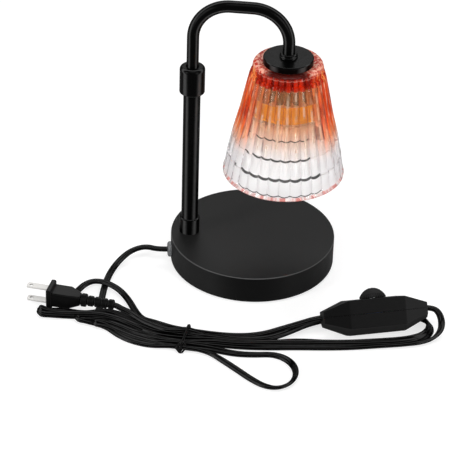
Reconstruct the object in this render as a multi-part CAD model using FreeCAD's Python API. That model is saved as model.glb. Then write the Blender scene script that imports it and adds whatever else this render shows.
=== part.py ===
import FreeCAD, Part
import math
import os

V = FreeCAD.Vector
UP = V(0, 0, 1)

# Candle warmer lamp: a heavy round foot, a telescopic pole with a twist-lock collar, an arched
# arm that slides and swings, and a fluted glass shade over a halogen reflector bulb.
# Millimetres, +Z up, origin at the centre of the foot's underside, pole on the -X side.

# ---- foot -------------------------------------------------------------------------------
BASE_D = 140.0            # outside diameter of the foot
BASE_H = 25.2             # floor to the top face
SHELL_WALL = 1.5          # side wall of the pressed steel shell
SHELL_TOP = 1.8           # thickness of the shell's top
SHELL_EDGE = 1.2          # radius of the shell's top edge
PAD_T = 1.5               # foam foot pad
PAD_INSET = 2.0           # pad edge inside the shell's outside
PLATE_T = 1.5             # bottom plate
SEAT_GAP = 0.3            # clearance between seated pieces
BALLAST_INSET = 9.0       # cast-iron ballast disc inside the foot's edge
BALLAST_T = 11.0
POCKET_REACH = 43.0       # wiring pocket, from the foot's edge inwards
POCKET_W = 52.0           # width of the wiring pocket
SCREW_R = 1.5             # self-tapping screws
SCREW_HEAD_R = 3.2
SCREW_HEAD_T = 1.1
SCREW_FIT = 0.05          # screw in its hole
SCREW_BITE = 9.0          # screw's length above the plate
BOSS_R = 4.2              # screw bosses under the shell's top
BOSS_INSET = 24.0         # bosses' circle inside the foot's edge
BOSS_COUNT = 3
BOSS_ANGLE = 0.0          # first boss, clear of the pole
CLAMP_SIZE = (5.0, 9.0, 10.0)  # nylon cord clamp on the plate
CLAMP_INSET = 11.0        # clamp's middle inside the foot's edge
CORD_TAIL = 22.0          # cord's end inside the foot's edge
CRIMP_R = 2.6             # closed crimp caps on the conductors
CRIMP_L = 12.0
CRIMP_INSET = 32.0        # mouths of the caps inside the foot's edge
CRIMP_Y = (-20.0, 18.0)
WIRE_R = 0.8              # single conductors
WIRE_PITCH = 2.0          # two conductors side by side in a crimp

# ---- pole -------------------------------------------------------------------------------
POLE_INSET = 15.7         # pole axis inside the foot's edge
FERRULE_D = 17.0
FERRULE_H = 15.0
LOWER_D = 14.2            # outside of the lower tube
LOWER_WALL = 1.0
LOWER_TAIL = 8.4          # threaded tail below the foot's top face
LOWER_TOP = 176.0         # height of the lower tube's upper end
FIT = 0.05                # radial running fit
NUT_AF = 19.0             # pole nut across flats
NUT_H = 5.2
WASHER_D = 23.0
WASHER_T = 0.7
COLLAR_D = 21.0           # twist-lock collar
COLLAR_BOTTOM = 161.5
COLLAR_TOP = 185.5
COLLAR_SHOULDER = 3.2     # radius of the collar's upper edge
COLLAR_CHAMFER = 0.8
COLLET_FLANGE = 1.9
COLLET_CONE_H = 5.0
COLLET_SKIRT = 10.0
COLLET_SLIT = 1.2
COLLET_TIP = 1.0          # wall at the cone's tip
CONE_GAP = 0.3

# ---- arm --------------------------------------------------------------------------------
ARM_D = 10.0              # outside of the arched tube
ARM_WALL = 0.9
ARM_REACH = 78.0          # pole axis to shade axis
ARM_SWING = 5.0           # degrees towards the front at rest
ARCH_TOP = 242.0          # height of the arch's centre line
ARCH_R = 30.0             # bend radius of the centre line
ARM_FOOT = 52.0           # lower end of the arched tube, inside the lower tube
BUSH_H = 12.0             # nylon guide bush on that end
BUSH_LIP = 2.0
LEAD_R = 1.6              # heat-resistant lead inside the arm
COIL_R = 5.6              # slack of the lead, coiled in the lower tube
COIL_T = 1.6

# ---- head -------------------------------------------------------------------------------
CAP_D = 41.2
CAP_BOTTOM = 195.5
CAP_T = 5.5
CAP_EDGE = 0.9
RING_D = 15.0             # lock ring on top of the cap
RING_T = 3.5
RING_EDGE = 1.0
HEAD_NUT_AF = 16.0
HEAD_NUT_H = 4.5
CUP_D = 30.4              # lamp-holder cup
CUP_WALL = 1.2
CUP_BOTTOM = 163.0
SHADE_BOTTOM = 93.0
SHADE_RIM_R = 50.4        # outside radius at the rim
SHADE_NECK_R = 30.0       # outside radius under the faceted band
SHADE_BAND_R = 28.4       # faceted band
SHADE_BAND_H = 7.0
SHADE_LIP_R = 26.4        # flat top of the glass
SHADE_WALL = 4.0
SHADE_FLUTES = 32
SHADE_TIERS = 6           # stepped rings on the inside
SHADE_TIER_H = 15.0
SHADE_LEDGE = 1.6
SHADE_RIM_ROUND = 1.5
BAND_FLARE = 0.6          # band wider at its foot
HOLE_GAP = 0.8            # glass hole around the cup
CLAMP_D = 40.0            # ring that clamps the glass from inside
CLAMP_T = 3.2
GASKET_T = 0.8

# ---- lamp socket and bulb ---------------------------------------------------------------
SOCKET_R = 13.6
SOCKET_H = 12.8
PIN_PITCH = 10.0
PIN_R = 1.3
PIN_HEAD_R = 2.4
PIN_NECK = 3.6
PIN_LENGTH = 7.2
PIN_CLEAR = 0.3           # pins in the socket's slots
KEYHOLE = 0.2             # extra room for a pin's head where it enters
TWIST = 20.0              # degrees from locked to free
CONTACT_T = 0.8
SPACER_Y = 11.5
SPACER_R = 2.0
SOCKET_SCREW_R = 1.4
SOCKET_HEAD_R = 2.35
BULB_TOP = 168.0          # top of the bulb's ceramic base
BULB_GAP = 0.2            # between the bulb and the socket
BULB_BASE = (24.0, 15.0, 20.3)
BULB_R = 25.0
BULB_FACE = 121.0
BULB_NECK_R = 8.0
BULB_SHELL = 1.1
BULB_RIM_H = 3.0          # cylindrical rim of the reflector
BULB_RIM_T = 0.8
FACE_GLASS_T = 2.0
CAPSULE_R = 3.4

# ---- cord and what is on it -------------------------------------------------------------
CORD_D = 4.2              # round cord of the flat twin lead's section
CORD_FLOOR = CORD_D / 2
GLAND_ANGLE = 6.56        # degrees forward of the -X direction
GLAND_Z = 10.5
GLAND_R = 7.5
GLAND_T = 3.0
GLAND_NECK_R = 4.9
GLAND_LIP = 1.2           # lip behind the shell, beyond the neck
CORD_FIT = 0.1
STRAND = 4.7              # pitch of the six strands side by side at the tie
STRAND_BACK = -115.9      # rearmost strand there
STRAND_X = -50.0          # where the strands enter the bundle
TIE_X = -54.0
TIE_BACK = -111.4         # outside of the tie round the bundle
TIE_FRONT = -142.6
TIE_W = 1.8
TIE_T = 0.8
TIE_END_R = 1.0
SWITCH_AT = V(100.8, -101.5, 17.5)
SWITCH_HEADING = 12.8
SWITCH_ROLL = 35.0        # it lies on its lower back chamfer
SWITCH_L = 88.0
SWITCH_BLOCK = 47.0       # length of the straight middle
SWITCH_HALF_W = 14.0
SWITCH_UP = 11.65         # parting plane to the top
SWITCH_DOWN = 17.05       # parting plane to the bottom
SWITCH_CHAMFER = 9.5      # length of the lower chamfers
SWITCH_WALL = 2.0
SWITCH_EDGE = 0.7
SWITCH_TIP = (6.5, 4.5, 8.2, 3.5, 3.4)  # end face: half width, up, down, chamfer reach and drop
DIAL_R = 11.6
DIAL_H = 8.2
SHAFT_R = 3.0             # potentiometer shaft
GRIP_R = 3.3              # cord grips in the switch's ends
GRIP_L = 6.0
GRIP_AT = 31.0
POST_R = 3.2              # screw posts in the lower shell
POST_X = 17.0
POST_Y = 8.6
POST_SCREW_R = 1.1
POST_HEAD_R = 2.0
POST_HEAD_Z = -9.0
BOARD = (36.0, 13.4, 1.6)
BOARD_Y = -1.6
BOARD_Z = -6.0
BOARD_FOOT_W = 5.0        # foot of the board on the shell's floor
POT_R = 7.5
POT_TOP = 8.6
PLUG_AT = V(-167.5, -82.5, 11.2)
PLUG_HEADING = -12.0
FLANGE = (4.3, 18.4, 19.2)
PLUG_BODY = (14.0, 16.4, 13.2)
PLUG_TAPER = 9.0
PLUG_NECK = 8.8
RELIEF_L = 29.0
RELIEF_R = (4.4, 3.3)
RELIEF_RIB_R = (5.5, 4.3, 4.2, 4.1, 4.0)
BLADE = (17.0, 6.35, 1.5)
BLADE_PITCH = 12.7
BLADE_ROOT = 7.0
BLADE_HOLE_R = 1.6
BLADE_HOLE_X = 3.6        # hole's centre from the tip
BLADE_TIP = 1.8

# ---- derived ----------------------------------------------------------------------------
BASE_R = BASE_D / 2
POLE_X = BASE_R - POLE_INSET
CRIMP_X = CRIMP_INSET - BASE_R
SHELL_IN_R = BASE_R - SHELL_WALL
SHELL_UNDER = BASE_H - SHELL_TOP
PLATE_TOP = PAD_T + PLATE_T
BALLAST_R = BASE_R - BALLAST_INSET
BOSS_CIRCLE = BASE_R - BOSS_INSET
LOWER_R = LOWER_D / 2
LOWER_IN_R = LOWER_R - LOWER_WALL
ARM_R = ARM_D / 2
ARM_IN_R = ARM_R - ARM_WALL
COLLAR_R = COLLAR_D / 2
CAP_TOP = CAP_BOTTOM + CAP_T
RING_TOP = CAP_TOP + RING_T
CUP_R = CUP_D / 2
CUP_IN_R = CUP_R - CUP_WALL
CUP_CEILING = CAP_BOTTOM - CUP_WALL
HEAD_NUT_BOTTOM = CUP_CEILING - HEAD_NUT_H
SHADE_TOP = CAP_BOTTOM
SHADE_FLANGE = SHADE_TOP - SHADE_WALL
SHADE_NECK = SHADE_TOP - SHADE_BAND_H
SHADE_HOLE_R = CUP_R + HOLE_GAP
CLAMP_TOP = SHADE_FLANGE - GASKET_T
SOCKET_BOTTOM = BULB_TOP + BULB_GAP
SOCKET_TOP = SOCKET_BOTTOM + SOCKET_H
SWITCH_FLOOR = SWITCH_WALL - SWITCH_DOWN
COLLET_CONE = LOWER_TOP + COLLET_FLANGE
HEAD_LIP = BULB_TOP + PIN_NECK - PIN_CLEAR
CONTACT_BOTTOM = BULB_TOP + PIN_LENGTH + PIN_CLEAR
PLUG_LENGTH = FLANGE[0] + PLUG_BODY[0] + PLUG_TAPER
POLE = V(-POLE_X, 0, 0)


# ---- small helpers ----------------------------------------------------------------------
def rod(radius, low, high, x=0.0, y=0.0):
    """Upright cylinder between two heights."""
    return Part.makeCylinder(radius, high - low, V(x, y, low))


def pipe(outer, inner, low, high, x=0.0, y=0.0):
    """Upright tube between two heights."""
    return rod(outer, low, high, x, y).cut(rod(inner, low - 1, high + 1, x, y))


def turned(profile):
    """Solid turned about Z from (radius, height) corners."""
    corners = [V(r, 0, z) for r, z in profile]
    face = Part.Face(Part.makePolygon(corners + corners[:1]))
    return face.revolve(V(0, 0, 0), UP, 360)


def block(sizes, centre):
    """Box of three sizes about its centre."""
    corner = V(*[c - s / 2 for c, s in zip(centre, sizes)])
    return Part.makeBox(sizes[0], sizes[1], sizes[2], corner)


def hexagon(across, bore, low, high):
    """Hexagon nut blank with a round bore."""
    radius = across / math.sqrt(3)
    corners = [V(radius * math.cos(math.radians(60 * k)), radius * math.sin(math.radians(60 * k)), low)
               for k in range(7)]
    prism = Part.Face(Part.makePolygon(corners)).extrude(V(0, 0, high - low))
    return prism.cut(rod(bore, low - 1, high + 1))


def section(corners, x):
    """Closed outline of (y, z) corners in the plane of one x."""
    points = [V(x, y, z) for y, z in corners]
    return Part.makePolygon(points + points[:1])


def rim_edges(shape, height):
    """Circular edges that lie in the plane of one height."""
    return [e for e in shape.Edges if e.Closed and abs(e.BoundBox.ZMin - height) < 0.01
            and abs(e.BoundBox.ZMax - height) < 0.01]


def to_pole(shape):
    """Move a piece that was made about Z = pole axis to the pole."""
    return shape.translated(POLE)


def to_arm(shape):
    """Swing a piece of the arm, made along +X from the pole axis, to its place."""
    return to_pole(shape.rotated(V(0, 0, 0), UP, -ARM_SWING))


def to_head(shape):
    """Place a piece that was made about Z = shade axis."""
    return to_arm(shape.translated(V(ARM_REACH, 0, 0)))


def to_switch(shape):
    """Roll, turn and place a piece of the cord switch."""
    rolled = shape.rotated(V(0, 0, 0), V(1, 0, 0), -SWITCH_ROLL)
    return rolled.rotated(V(0, 0, 0), UP, SWITCH_HEADING).translated(SWITCH_AT)


def to_plug(shape):
    """Turn and place a piece of the plug."""
    return shape.rotated(V(0, 0, 0), UP, PLUG_HEADING).translated(PLUG_AT)


def to_gland(shape):
    """Turn a piece made along -X at the foot's edge to the gland's direction."""
    return shape.translated(V(0, 0, GLAND_Z)).rotated(V(0, 0, 0), UP, GLAND_ANGLE)


def bend_path(points, label=None):
    """Wire of straight runs joined by tangent arcs, each as large as its runs allow."""
    edges = []
    start = points[0]
    radii = []
    for before, corner, after in zip(points, points[1:], points[2:]):
        to_before = before - corner
        to_after = after - corner
        turn = math.pi - to_before.getAngle(to_after)
        radius = 0.45 * min(to_before.Length, to_after.Length) / math.tan(turn / 2)
        radii.append(radius)
        reach = radius * math.tan(turn / 2)
        into = corner + V(to_before).normalize() * reach
        out = corner + V(to_after).normalize() * reach
        bisector = (V(to_before).normalize() + V(to_after).normalize()).normalize()
        middle = corner + bisector * (radius / math.cos(turn / 2) - radius)
        edges.append(Part.LineSegment(start, into).toShape())
        edges.append(Part.Arc(into, middle, out).toShape())
        start = out
    edges.append(Part.LineSegment(start, points[-1]).toShape())
    wire = Part.Wire(edges)
    if label:
        print(f"{label}: length {wire.Length:.0f}, tightest bend {min(radii):.1f} mm")
    return wire


def along(wire, radius):
    """Round rod along a wire."""
    first = wire.Edges[0]
    start = first.valueAt(first.FirstParameter)
    ring = Part.Wire(Part.makeCircle(radius, start, first.tangentAt(first.FirstParameter)))
    return wire.makePipeShell([ring], True, False)


def laid(route):
    """Route corners as vectors; a corner without a height lies on the floor."""
    return [V(*p) if len(p) == 3 else V(p[0], p[1], CORD_FLOOR) for p in route]


def cord(label, route):
    """One free stretch of the cord; its volume is held against section times length."""
    wire = bend_path(laid(route), label)
    solid = along(wire, CORD_D / 2)
    print(f"  volume ratio {solid.Volume / (math.pi * CORD_FLOOR ** 2 * wire.Length):.4f}")
    return solid


# ---- foot -------------------------------------------------------------------------------
def boss_points():
    """Centres of the screw bosses."""
    return [(BOSS_CIRCLE * math.cos(math.radians(BOSS_ANGLE + 360 / BOSS_COUNT * k)),
             BOSS_CIRCLE * math.sin(math.radians(BOSS_ANGLE + 360 / BOSS_COUNT * k)))
            for k in range(BOSS_COUNT)]


def base_shell():
    """Pressed steel cup with screw bosses, a pole hole and a cord hole."""
    cup = rod(BASE_R, PAD_T, BASE_H)
    cup = cup.makeFillet(SHELL_EDGE, rim_edges(cup, BASE_H))
    cup = cup.cut(rod(SHELL_IN_R, PAD_T - 1, SHELL_UNDER))
    for x, y in boss_points():
        cup = cup.fuse(rod(BOSS_R, PLATE_TOP, SHELL_UNDER + SHELL_TOP / 2, x, y))
    for x, y in boss_points():
        cup = cup.cut(rod(SCREW_R + SCREW_FIT, 0, SHELL_UNDER - 2, x, y))
    cup = cup.cut(rod(LOWER_R + FIT, 0, BASE_H + 1, -POLE_X, 0))
    cord_hole = Part.makeCylinder(GLAND_NECK_R + FIT, 12, V(-BASE_R - 2, 0, 0), V(1, 0, 0))
    return cup.cut(to_gland(cord_hole))


def ballast_weight():
    """Cast-iron disc with a pocket for the pole nut and wiring."""
    disc = rod(BALLAST_R, PLATE_TOP, PLATE_TOP + BALLAST_T)
    pocket = Part.makeBox(POCKET_REACH, POCKET_W, BALLAST_T + 2,
                          V(-BASE_R, -POCKET_W / 2, PLATE_TOP - 1))
    disc = disc.cut(pocket)
    for x, y in boss_points():
        disc = disc.cut(rod(BOSS_R + SEAT_GAP, 0, BASE_H, x, y))
    return disc


def base_plate():
    """Steel plate that closes the foot."""
    plate = rod(SHELL_IN_R - SEAT_GAP, PAD_T, PLATE_TOP)
    for x, y in boss_points():
        plate = plate.cut(rod(SCREW_R + SCREW_FIT, 0, PLATE_TOP + 1, x, y))
    return plate


def foot_pad():
    """Foam pad under the plate, pierced for the screw heads."""
    pad = rod(BASE_R - PAD_INSET, 0, PAD_T)
    for x, y in boss_points():
        pad = pad.cut(rod(SCREW_HEAD_R + SEAT_GAP, -1, PAD_T + 1, x, y))
    return pad


def base_screws():
    """Three screws from below into the bosses."""
    screws = []
    for x, y in boss_points():
        head = rod(SCREW_HEAD_R, PAD_T - SCREW_HEAD_T, PAD_T, x, y)
        screws.append(head.fuse(rod(SCREW_R, PAD_T, PLATE_TOP + SCREW_BITE, x, y)))
    return screws


# ---- pole -------------------------------------------------------------------------------
def lower_tube():
    """Outer tube of the telescopic pole, its tail through the foot's top."""
    return pipe(LOWER_R, LOWER_IN_R, BASE_H - LOWER_TAIL, LOWER_TOP)


def pole_ferrule():
    """Sleeve around the pole where it meets the foot."""
    return pipe(FERRULE_D / 2, LOWER_R + FIT, BASE_H, BASE_H + FERRULE_H)


def pole_washer():
    return pipe(WASHER_D / 2, LOWER_R + FIT, SHELL_UNDER - WASHER_T, SHELL_UNDER)


def pole_nut():
    top = SHELL_UNDER - WASHER_T
    return hexagon(NUT_AF, LOWER_R + FIT, top - NUT_H, top)


def collet():
    """Split nylon collet: a skirt in the lower tube, a flange on it and a cone above."""
    skirt_r = LOWER_IN_R - FIT
    flange_r = LOWER_R - 0.2
    bore = ARM_R + FIT
    ring = turned([(bore, LOWER_TOP - COLLET_SKIRT), (skirt_r, LOWER_TOP - COLLET_SKIRT),
                   (skirt_r, LOWER_TOP), (flange_r, LOWER_TOP), (flange_r, COLLET_CONE),
                   (ARM_R + COLLET_TIP, COLLET_CONE + COLLET_CONE_H), (bore, COLLET_CONE + COLLET_CONE_H)])
    slit = block((COLLAR_D, COLLET_SLIT, COLLET_CONE_H * 2), (COLLAR_R, 0, COLLET_CONE + COLLET_CONE_H))
    return ring.cut(slit)


def lock_collar():
    """Twist-lock collar that squeezes the collet on the arm."""
    cone_top = COLLET_CONE + COLLET_CONE_H + CONE_GAP
    wide = LOWER_R + FIT
    mouth = ARM_R + CONE_GAP
    body = rod(COLLAR_R, COLLAR_BOTTOM, COLLAR_TOP)
    body = body.makeFillet(COLLAR_SHOULDER, rim_edges(body, COLLAR_TOP))
    body = body.makeChamfer(COLLAR_CHAMFER, rim_edges(body, COLLAR_BOTTOM))
    bore = turned([(0, COLLAR_BOTTOM - 1), (wide, COLLAR_BOTTOM - 1), (wide, COLLET_CONE + CONE_GAP),
                   (ARM_R + COLLET_TIP + CONE_GAP, cone_top), (mouth, cone_top), (mouth, COLLAR_TOP + 1),
                   (0, COLLAR_TOP + 1)])
    return body.cut(bore)


# ---- arm --------------------------------------------------------------------------------
def arch_wire(low, end):
    """Centre line of the arm: up, over the arch, and down to the shade axis."""
    springing = ARCH_TOP - ARCH_R
    half = ARCH_R * math.sqrt(0.5)
    far = ARM_REACH - ARCH_R
    points = [V(0, 0, low), V(0, 0, springing), V(ARCH_R - half, 0, springing + half),
              V(ARCH_R, 0, ARCH_TOP), V(far, 0, ARCH_TOP), V(far + half, 0, springing + half),
              V(ARM_REACH, 0, springing), V(ARM_REACH, 0, end)]
    return Part.Wire([Part.LineSegment(points[0], points[1]).toShape(),
                      Part.Arc(points[1], points[2], points[3]).toShape(),
                      Part.LineSegment(points[3], points[4]).toShape(),
                      Part.Arc(points[4], points[5], points[6]).toShape(),
                      Part.LineSegment(points[6], points[7]).toShape()])


def upper_tube():
    """Arched steel tube, open at both ends."""
    outer = along(arch_wire(ARM_FOOT, HEAD_NUT_BOTTOM - 0.8), ARM_R)
    inner = along(arch_wire(ARM_FOOT - 1, HEAD_NUT_BOTTOM - 2), ARM_IN_R)
    return outer.cut(inner)


def guide_bush():
    """Nylon bush on the arm's foot, running in the lower tube."""
    outer = LOWER_IN_R - FIT
    bore = ARM_R + FIT / 2
    lip = ARM_IN_R
    low = ARM_FOOT - BUSH_LIP
    return turned([(lip, low), (outer, low), (outer, ARM_FOOT + BUSH_H), (bore, ARM_FOOT + BUSH_H),
                   (bore, ARM_FOOT), (lip, ARM_FOOT)])


def arm_lead():
    """Heat-resistant lead through the arm down to the lamp socket."""
    return along(arch_wire(ARM_FOOT - BUSH_LIP, SOCKET_TOP), LEAD_R)


def lead_coil():
    """Slack of the lead, coiled between the foot and the guide bush."""
    return pipe(COIL_R, COIL_R - COIL_T, BASE_H - LOWER_TAIL + SEAT_GAP, ARM_FOOT - BUSH_LIP - SEAT_GAP)


# ---- head -------------------------------------------------------------------------------
def tube_ring():
    """Lock ring on top of the cap."""
    ring = pipe(RING_D / 2, ARM_R + FIT, CAP_TOP, RING_TOP)
    rim = [e for e in rim_edges(ring, RING_TOP) if e.BoundBox.XLength > 2 * ARM_R + 1]
    return ring.makeFillet(RING_EDGE, rim)


def shade_cap():
    """Steel disc that covers the glass's hole."""
    cap = rod(CAP_D / 2, CAP_BOTTOM, CAP_TOP)
    cap = cap.makeFillet(CAP_EDGE, rim_edges(cap, CAP_TOP))
    return cap.cut(rod(ARM_R + FIT, CAP_BOTTOM - 1, CAP_TOP + 1))


def head_nut():
    return hexagon(HEAD_NUT_AF, ARM_R + FIT, HEAD_NUT_BOTTOM, CUP_CEILING)


def holder_cup():
    """Turned cup that hides the socket; the clamp ring screws on its outside."""
    cup = rod(CUP_R, CUP_BOTTOM, CAP_BOTTOM).cut(rod(CUP_IN_R, CUP_BOTTOM - 1, CUP_CEILING))
    cup = cup.cut(rod(ARM_R + FIT, CUP_CEILING - 1, CAP_BOTTOM + 1))
    for side in (-1, 1):
        cup = cup.cut(rod(SOCKET_SCREW_R + SCREW_FIT, CUP_CEILING - 1, CAP_BOTTOM + 1, 0, side * SPACER_Y))
    return cup


def fluted(radius, height):
    """Outline with one corner for each flute."""
    corners = [V(radius * math.cos(2 * math.pi * k / SHADE_FLUTES),
                 radius * math.sin(2 * math.pi * k / SHADE_FLUTES), height)
               for k in range(SHADE_FLUTES)]
    return Part.makePolygon(corners + corners[:1])


def tier_radius(z):
    """Inside radius of the glass at a height, before the ledges."""
    slope = (SHADE_RIM_R - SHADE_NECK_R) / (SHADE_NECK - SHADE_BOTTOM)
    return SHADE_RIM_R - slope * (z - SHADE_BOTTOM) - SHADE_WALL


def shade_hollow():
    """Inside of the shade, stepped in rings that narrow upwards."""
    profile = [(0, SHADE_BOTTOM - 1), (tier_radius(SHADE_BOTTOM), SHADE_BOTTOM - 1)]
    low = SHADE_BOTTOM
    for tier in range(SHADE_TIERS):
        high = SHADE_BOTTOM + (tier + 1) * (SHADE_FLANGE - SHADE_BOTTOM) / SHADE_TIERS
        profile.append((tier_radius(low), low))
        profile.append((tier_radius(high) + SHADE_LEDGE, high))
        low = high
    profile[-1] = (tier_radius(low), low)
    profile.append((0, SHADE_FLANGE))
    return turned(profile)


def glass_shade():
    """Pressed glass: fluted cone, faceted band, flat top with a hole, stepped inside."""
    cone = Part.makeLoft([fluted(SHADE_RIM_R, SHADE_BOTTOM + SHADE_RIM_ROUND),
                          fluted(SHADE_NECK_R, SHADE_NECK)], True, True)
    foot = Part.makeLoft([fluted(SHADE_RIM_R - SHADE_RIM_ROUND, SHADE_BOTTOM),
                          fluted(SHADE_RIM_R, SHADE_BOTTOM + SHADE_RIM_ROUND)], True, True)
    band_top = SHADE_TOP - (SHADE_BAND_R - SHADE_LIP_R) / 2
    band = Part.makeLoft([fluted(SHADE_BAND_R + BAND_FLARE, SHADE_NECK), fluted(SHADE_BAND_R, band_top)], True, True)
    lip = Part.makeLoft([fluted(SHADE_BAND_R, band_top), fluted(SHADE_LIP_R, SHADE_TOP)], True, True)
    outside = cone.fuse([foot, band, lip]).removeSplitter()
    return outside.cut(shade_hollow()).cut(rod(SHADE_HOLE_R, SHADE_FLANGE - 1, SHADE_TOP + 1))


def shade_gasket():
    return pipe(CLAMP_D / 2, CUP_R + FIT, CLAMP_TOP, SHADE_FLANGE)


def clamp_ring():
    """Threaded ring that holds the glass up against the cap."""
    return pipe(CLAMP_D / 2, CUP_R + FIT, CLAMP_TOP - CLAMP_T, CLAMP_TOP)


# ---- lamp socket and bulb ---------------------------------------------------------------
def on_pins(angle, radius):
    """Point at an angle on a circle about the shade axis."""
    return V(radius * math.cos(math.radians(angle)), radius * math.sin(math.radians(angle)), 0)


def pin_slot(low, high, radius):
    """Curved slot that a pin sweeps as the bulb is twisted free."""
    mid = PIN_PITCH / 2
    inner, outer = mid - radius, mid + radius
    past = math.degrees(radius / mid)
    outline = Part.Wire([
        Part.Arc(on_pins(0, outer), on_pins(TWIST / 2, outer), on_pins(TWIST, outer)).toShape(),
        Part.Arc(on_pins(TWIST, outer), on_pins(TWIST + past, mid), on_pins(TWIST, inner)).toShape(),
        Part.Arc(on_pins(TWIST, inner), on_pins(TWIST / 2, inner), on_pins(0, inner)).toShape(),
        Part.Arc(on_pins(0, inner), on_pins(-past, mid), on_pins(0, outer)).toShape()])
    return Part.Face(outline).extrude(V(0, 0, high - low)).translated(V(0, 0, low))


def both_sides(shape):
    """A piece and its copy half a turn round the shade axis."""
    return [shape, shape.rotated(V(0, 0, 0), UP, 180)]


def lamp_socket():
    """Ceramic socket with two keyhole slots."""
    socket = rod(SOCKET_R, SOCKET_BOTTOM, SOCKET_TOP)
    ceiling = CONTACT_BOTTOM + CONTACT_T
    entry = on_pins(TWIST, PIN_PITCH / 2)
    slot = pin_slot(SOCKET_BOTTOM - 1, HEAD_LIP + 1, PIN_R + PIN_CLEAR)
    room = pin_slot(HEAD_LIP, ceiling, PIN_HEAD_R + PIN_CLEAR)
    keyhole = rod(PIN_HEAD_R + PIN_CLEAR + KEYHOLE, SOCKET_BOTTOM - 1, ceiling - CONTACT_T, entry.x, entry.y)
    for cut in (room, slot, keyhole):
        for side in both_sides(cut):
            socket = socket.cut(side)
    for side in (-1, 1):
        socket = socket.cut(rod(SOCKET_SCREW_R + SCREW_FIT, SOCKET_BOTTOM - 1, SOCKET_TOP + 1,
                                0, side * SPACER_Y))
    return socket


def socket_contacts():
    """Brass contacts in the ceilings of the two slots."""
    return both_sides(rod(PIN_HEAD_R, CONTACT_BOTTOM, CONTACT_BOTTOM + CONTACT_T, PIN_PITCH / 2, 0))


def socket_spacers():
    return [pipe(SPACER_R, SOCKET_SCREW_R + SCREW_FIT, SOCKET_TOP, CUP_CEILING, 0, side * SPACER_Y)
            for side in (-1, 1)]


def socket_screws():
    """Two screws from below the socket into the cup's ceiling."""
    screws = []
    for side in (-1, 1):
        head = rod(SOCKET_HEAD_R, SOCKET_BOTTOM - 1.6, SOCKET_BOTTOM, 0, side * SPACER_Y)
        screws.append(head.fuse(rod(SOCKET_SCREW_R, SOCKET_BOTTOM, CAP_BOTTOM - 0.2, 0, side * SPACER_Y)))
    return screws


def reflector_profile(inset):
    """Corners of the reflector's bell, from the rim to the neck."""
    reach = BULB_TOP - BULB_BASE[2] - 0.2 - BULB_FACE - BULB_RIM_H
    steps = 6
    bell = []
    for k in range(steps + 1):
        t = k / steps
        radius = BULB_R - (BULB_R - BULB_NECK_R) * (1 - math.sqrt(1 - t * t)) - inset
        bell.append((radius, BULB_FACE + BULB_RIM_H + reach * t))
    return bell


def bulb_reflector():
    """Glass bell with a cylindrical rim and an open neck."""
    outer = reflector_profile(0)
    inner = reflector_profile(BULB_SHELL)
    seat = BULB_R - BULB_RIM_T
    rim = [(seat, BULB_FACE), (BULB_R, BULB_FACE)]
    return turned(rim + outer + inner[::-1] + [(seat, BULB_FACE + BULB_RIM_H - BULB_RIM_T / 2)])


def bulb_front():
    """Cover glass in the rim."""
    low = BULB_FACE + 0.3
    return rod(BULB_R - BULB_RIM_T - FIT, low, low + FACE_GLASS_T)


def bulb_base():
    """Ceramic base: a rounded block cut to a circle."""
    wide, deep, high = BULB_BASE
    low = BULB_TOP - high
    body = block((wide, deep, high), (0, 0, low + high / 2)).common(rod(CUP_IN_R - 1, low, BULB_TOP))
    return body.cut(rod(CAPSULE_R + SEAT_GAP, low - 1, low + 6))


def bulb_capsule():
    """Halogen capsule, its pinch in the ceramic base."""
    low = BULB_TOP - BULB_BASE[2]
    tip = low - 14.0
    glass = rod(CAPSULE_R, tip, low + 5.5)
    return glass.fuse(Part.makeSphere(CAPSULE_R, V(0, 0, tip)))


def bulb_pins():
    """Two headed pins that turn into the socket."""
    pin = rod(PIN_R, BULB_TOP, BULB_TOP + PIN_NECK, PIN_PITCH / 2, 0)
    head = rod(PIN_HEAD_R, BULB_TOP + PIN_NECK, BULB_TOP + PIN_LENGTH, PIN_PITCH / 2, 0)
    return both_sides(pin.fuse(head))


# ---- cord entry -------------------------------------------------------------------------
def cable_gland():
    """Clear bushing: a flange outside the shell, a neck through it and a lip inside."""
    bore = CORD_D / 2 + CORD_FIT
    flange = Part.makeCylinder(GLAND_R, GLAND_T + 2, V(-BASE_R - GLAND_T, 0, 0), V(1, 0, 0))
    neck = Part.makeCylinder(GLAND_NECK_R, 8, V(-BASE_R - 1, 0, 0), V(1, 0, 0))
    lip = Part.makeCylinder(GLAND_NECK_R + GLAND_LIP, 2, V(-SHELL_IN_R + 0.6, 0, 0), V(1, 0, 0))
    hole = Part.makeCylinder(bore, 20, V(-BASE_R - 6, 0, 0), V(1, 0, 0))
    outside = to_gland(flange).cut(rod(BASE_R, 0, BASE_H + 1))
    return outside.fuse(to_gland(neck)).fuse(to_gland(lip)).cut(to_gland(hole)).removeSplitter()


def gland_point(distance, height=GLAND_Z):
    """Point on the gland's axis at a distance from the foot's centre."""
    angle = math.radians(GLAND_ANGLE)
    return (-distance * math.cos(angle), -distance * math.sin(angle), height)


def inner_cord():
    """The cord's end inside the foot, through the gland and the clamp."""
    length = CORD_TAIL + GLAND_T
    return to_gland(Part.makeCylinder(CORD_D / 2, length, V(-BASE_R - GLAND_T, 0, 0), V(1, 0, 0)))


def cord_clamp():
    """Nylon block on the plate that grips the cord."""
    middle = CLAMP_INSET - BASE_R
    body = block(CLAMP_SIZE, (middle, 0, PLATE_TOP - GLAND_Z + CLAMP_SIZE[2] / 2))
    bore = Part.makeCylinder(CORD_D / 2 + CORD_FIT, 20, V(middle - 10, 0, 0), V(1, 0, 0))
    return to_gland(body.cut(bore))


def wire_crimps():
    """Two closed crimp caps that join the cord to the arm's lead."""
    return [Part.makeCylinder(CRIMP_R, CRIMP_L, V(CRIMP_X, y, PLATE_TOP + CRIMP_R), V(-1, 0, 0))
            for y in CRIMP_Y]


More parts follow.
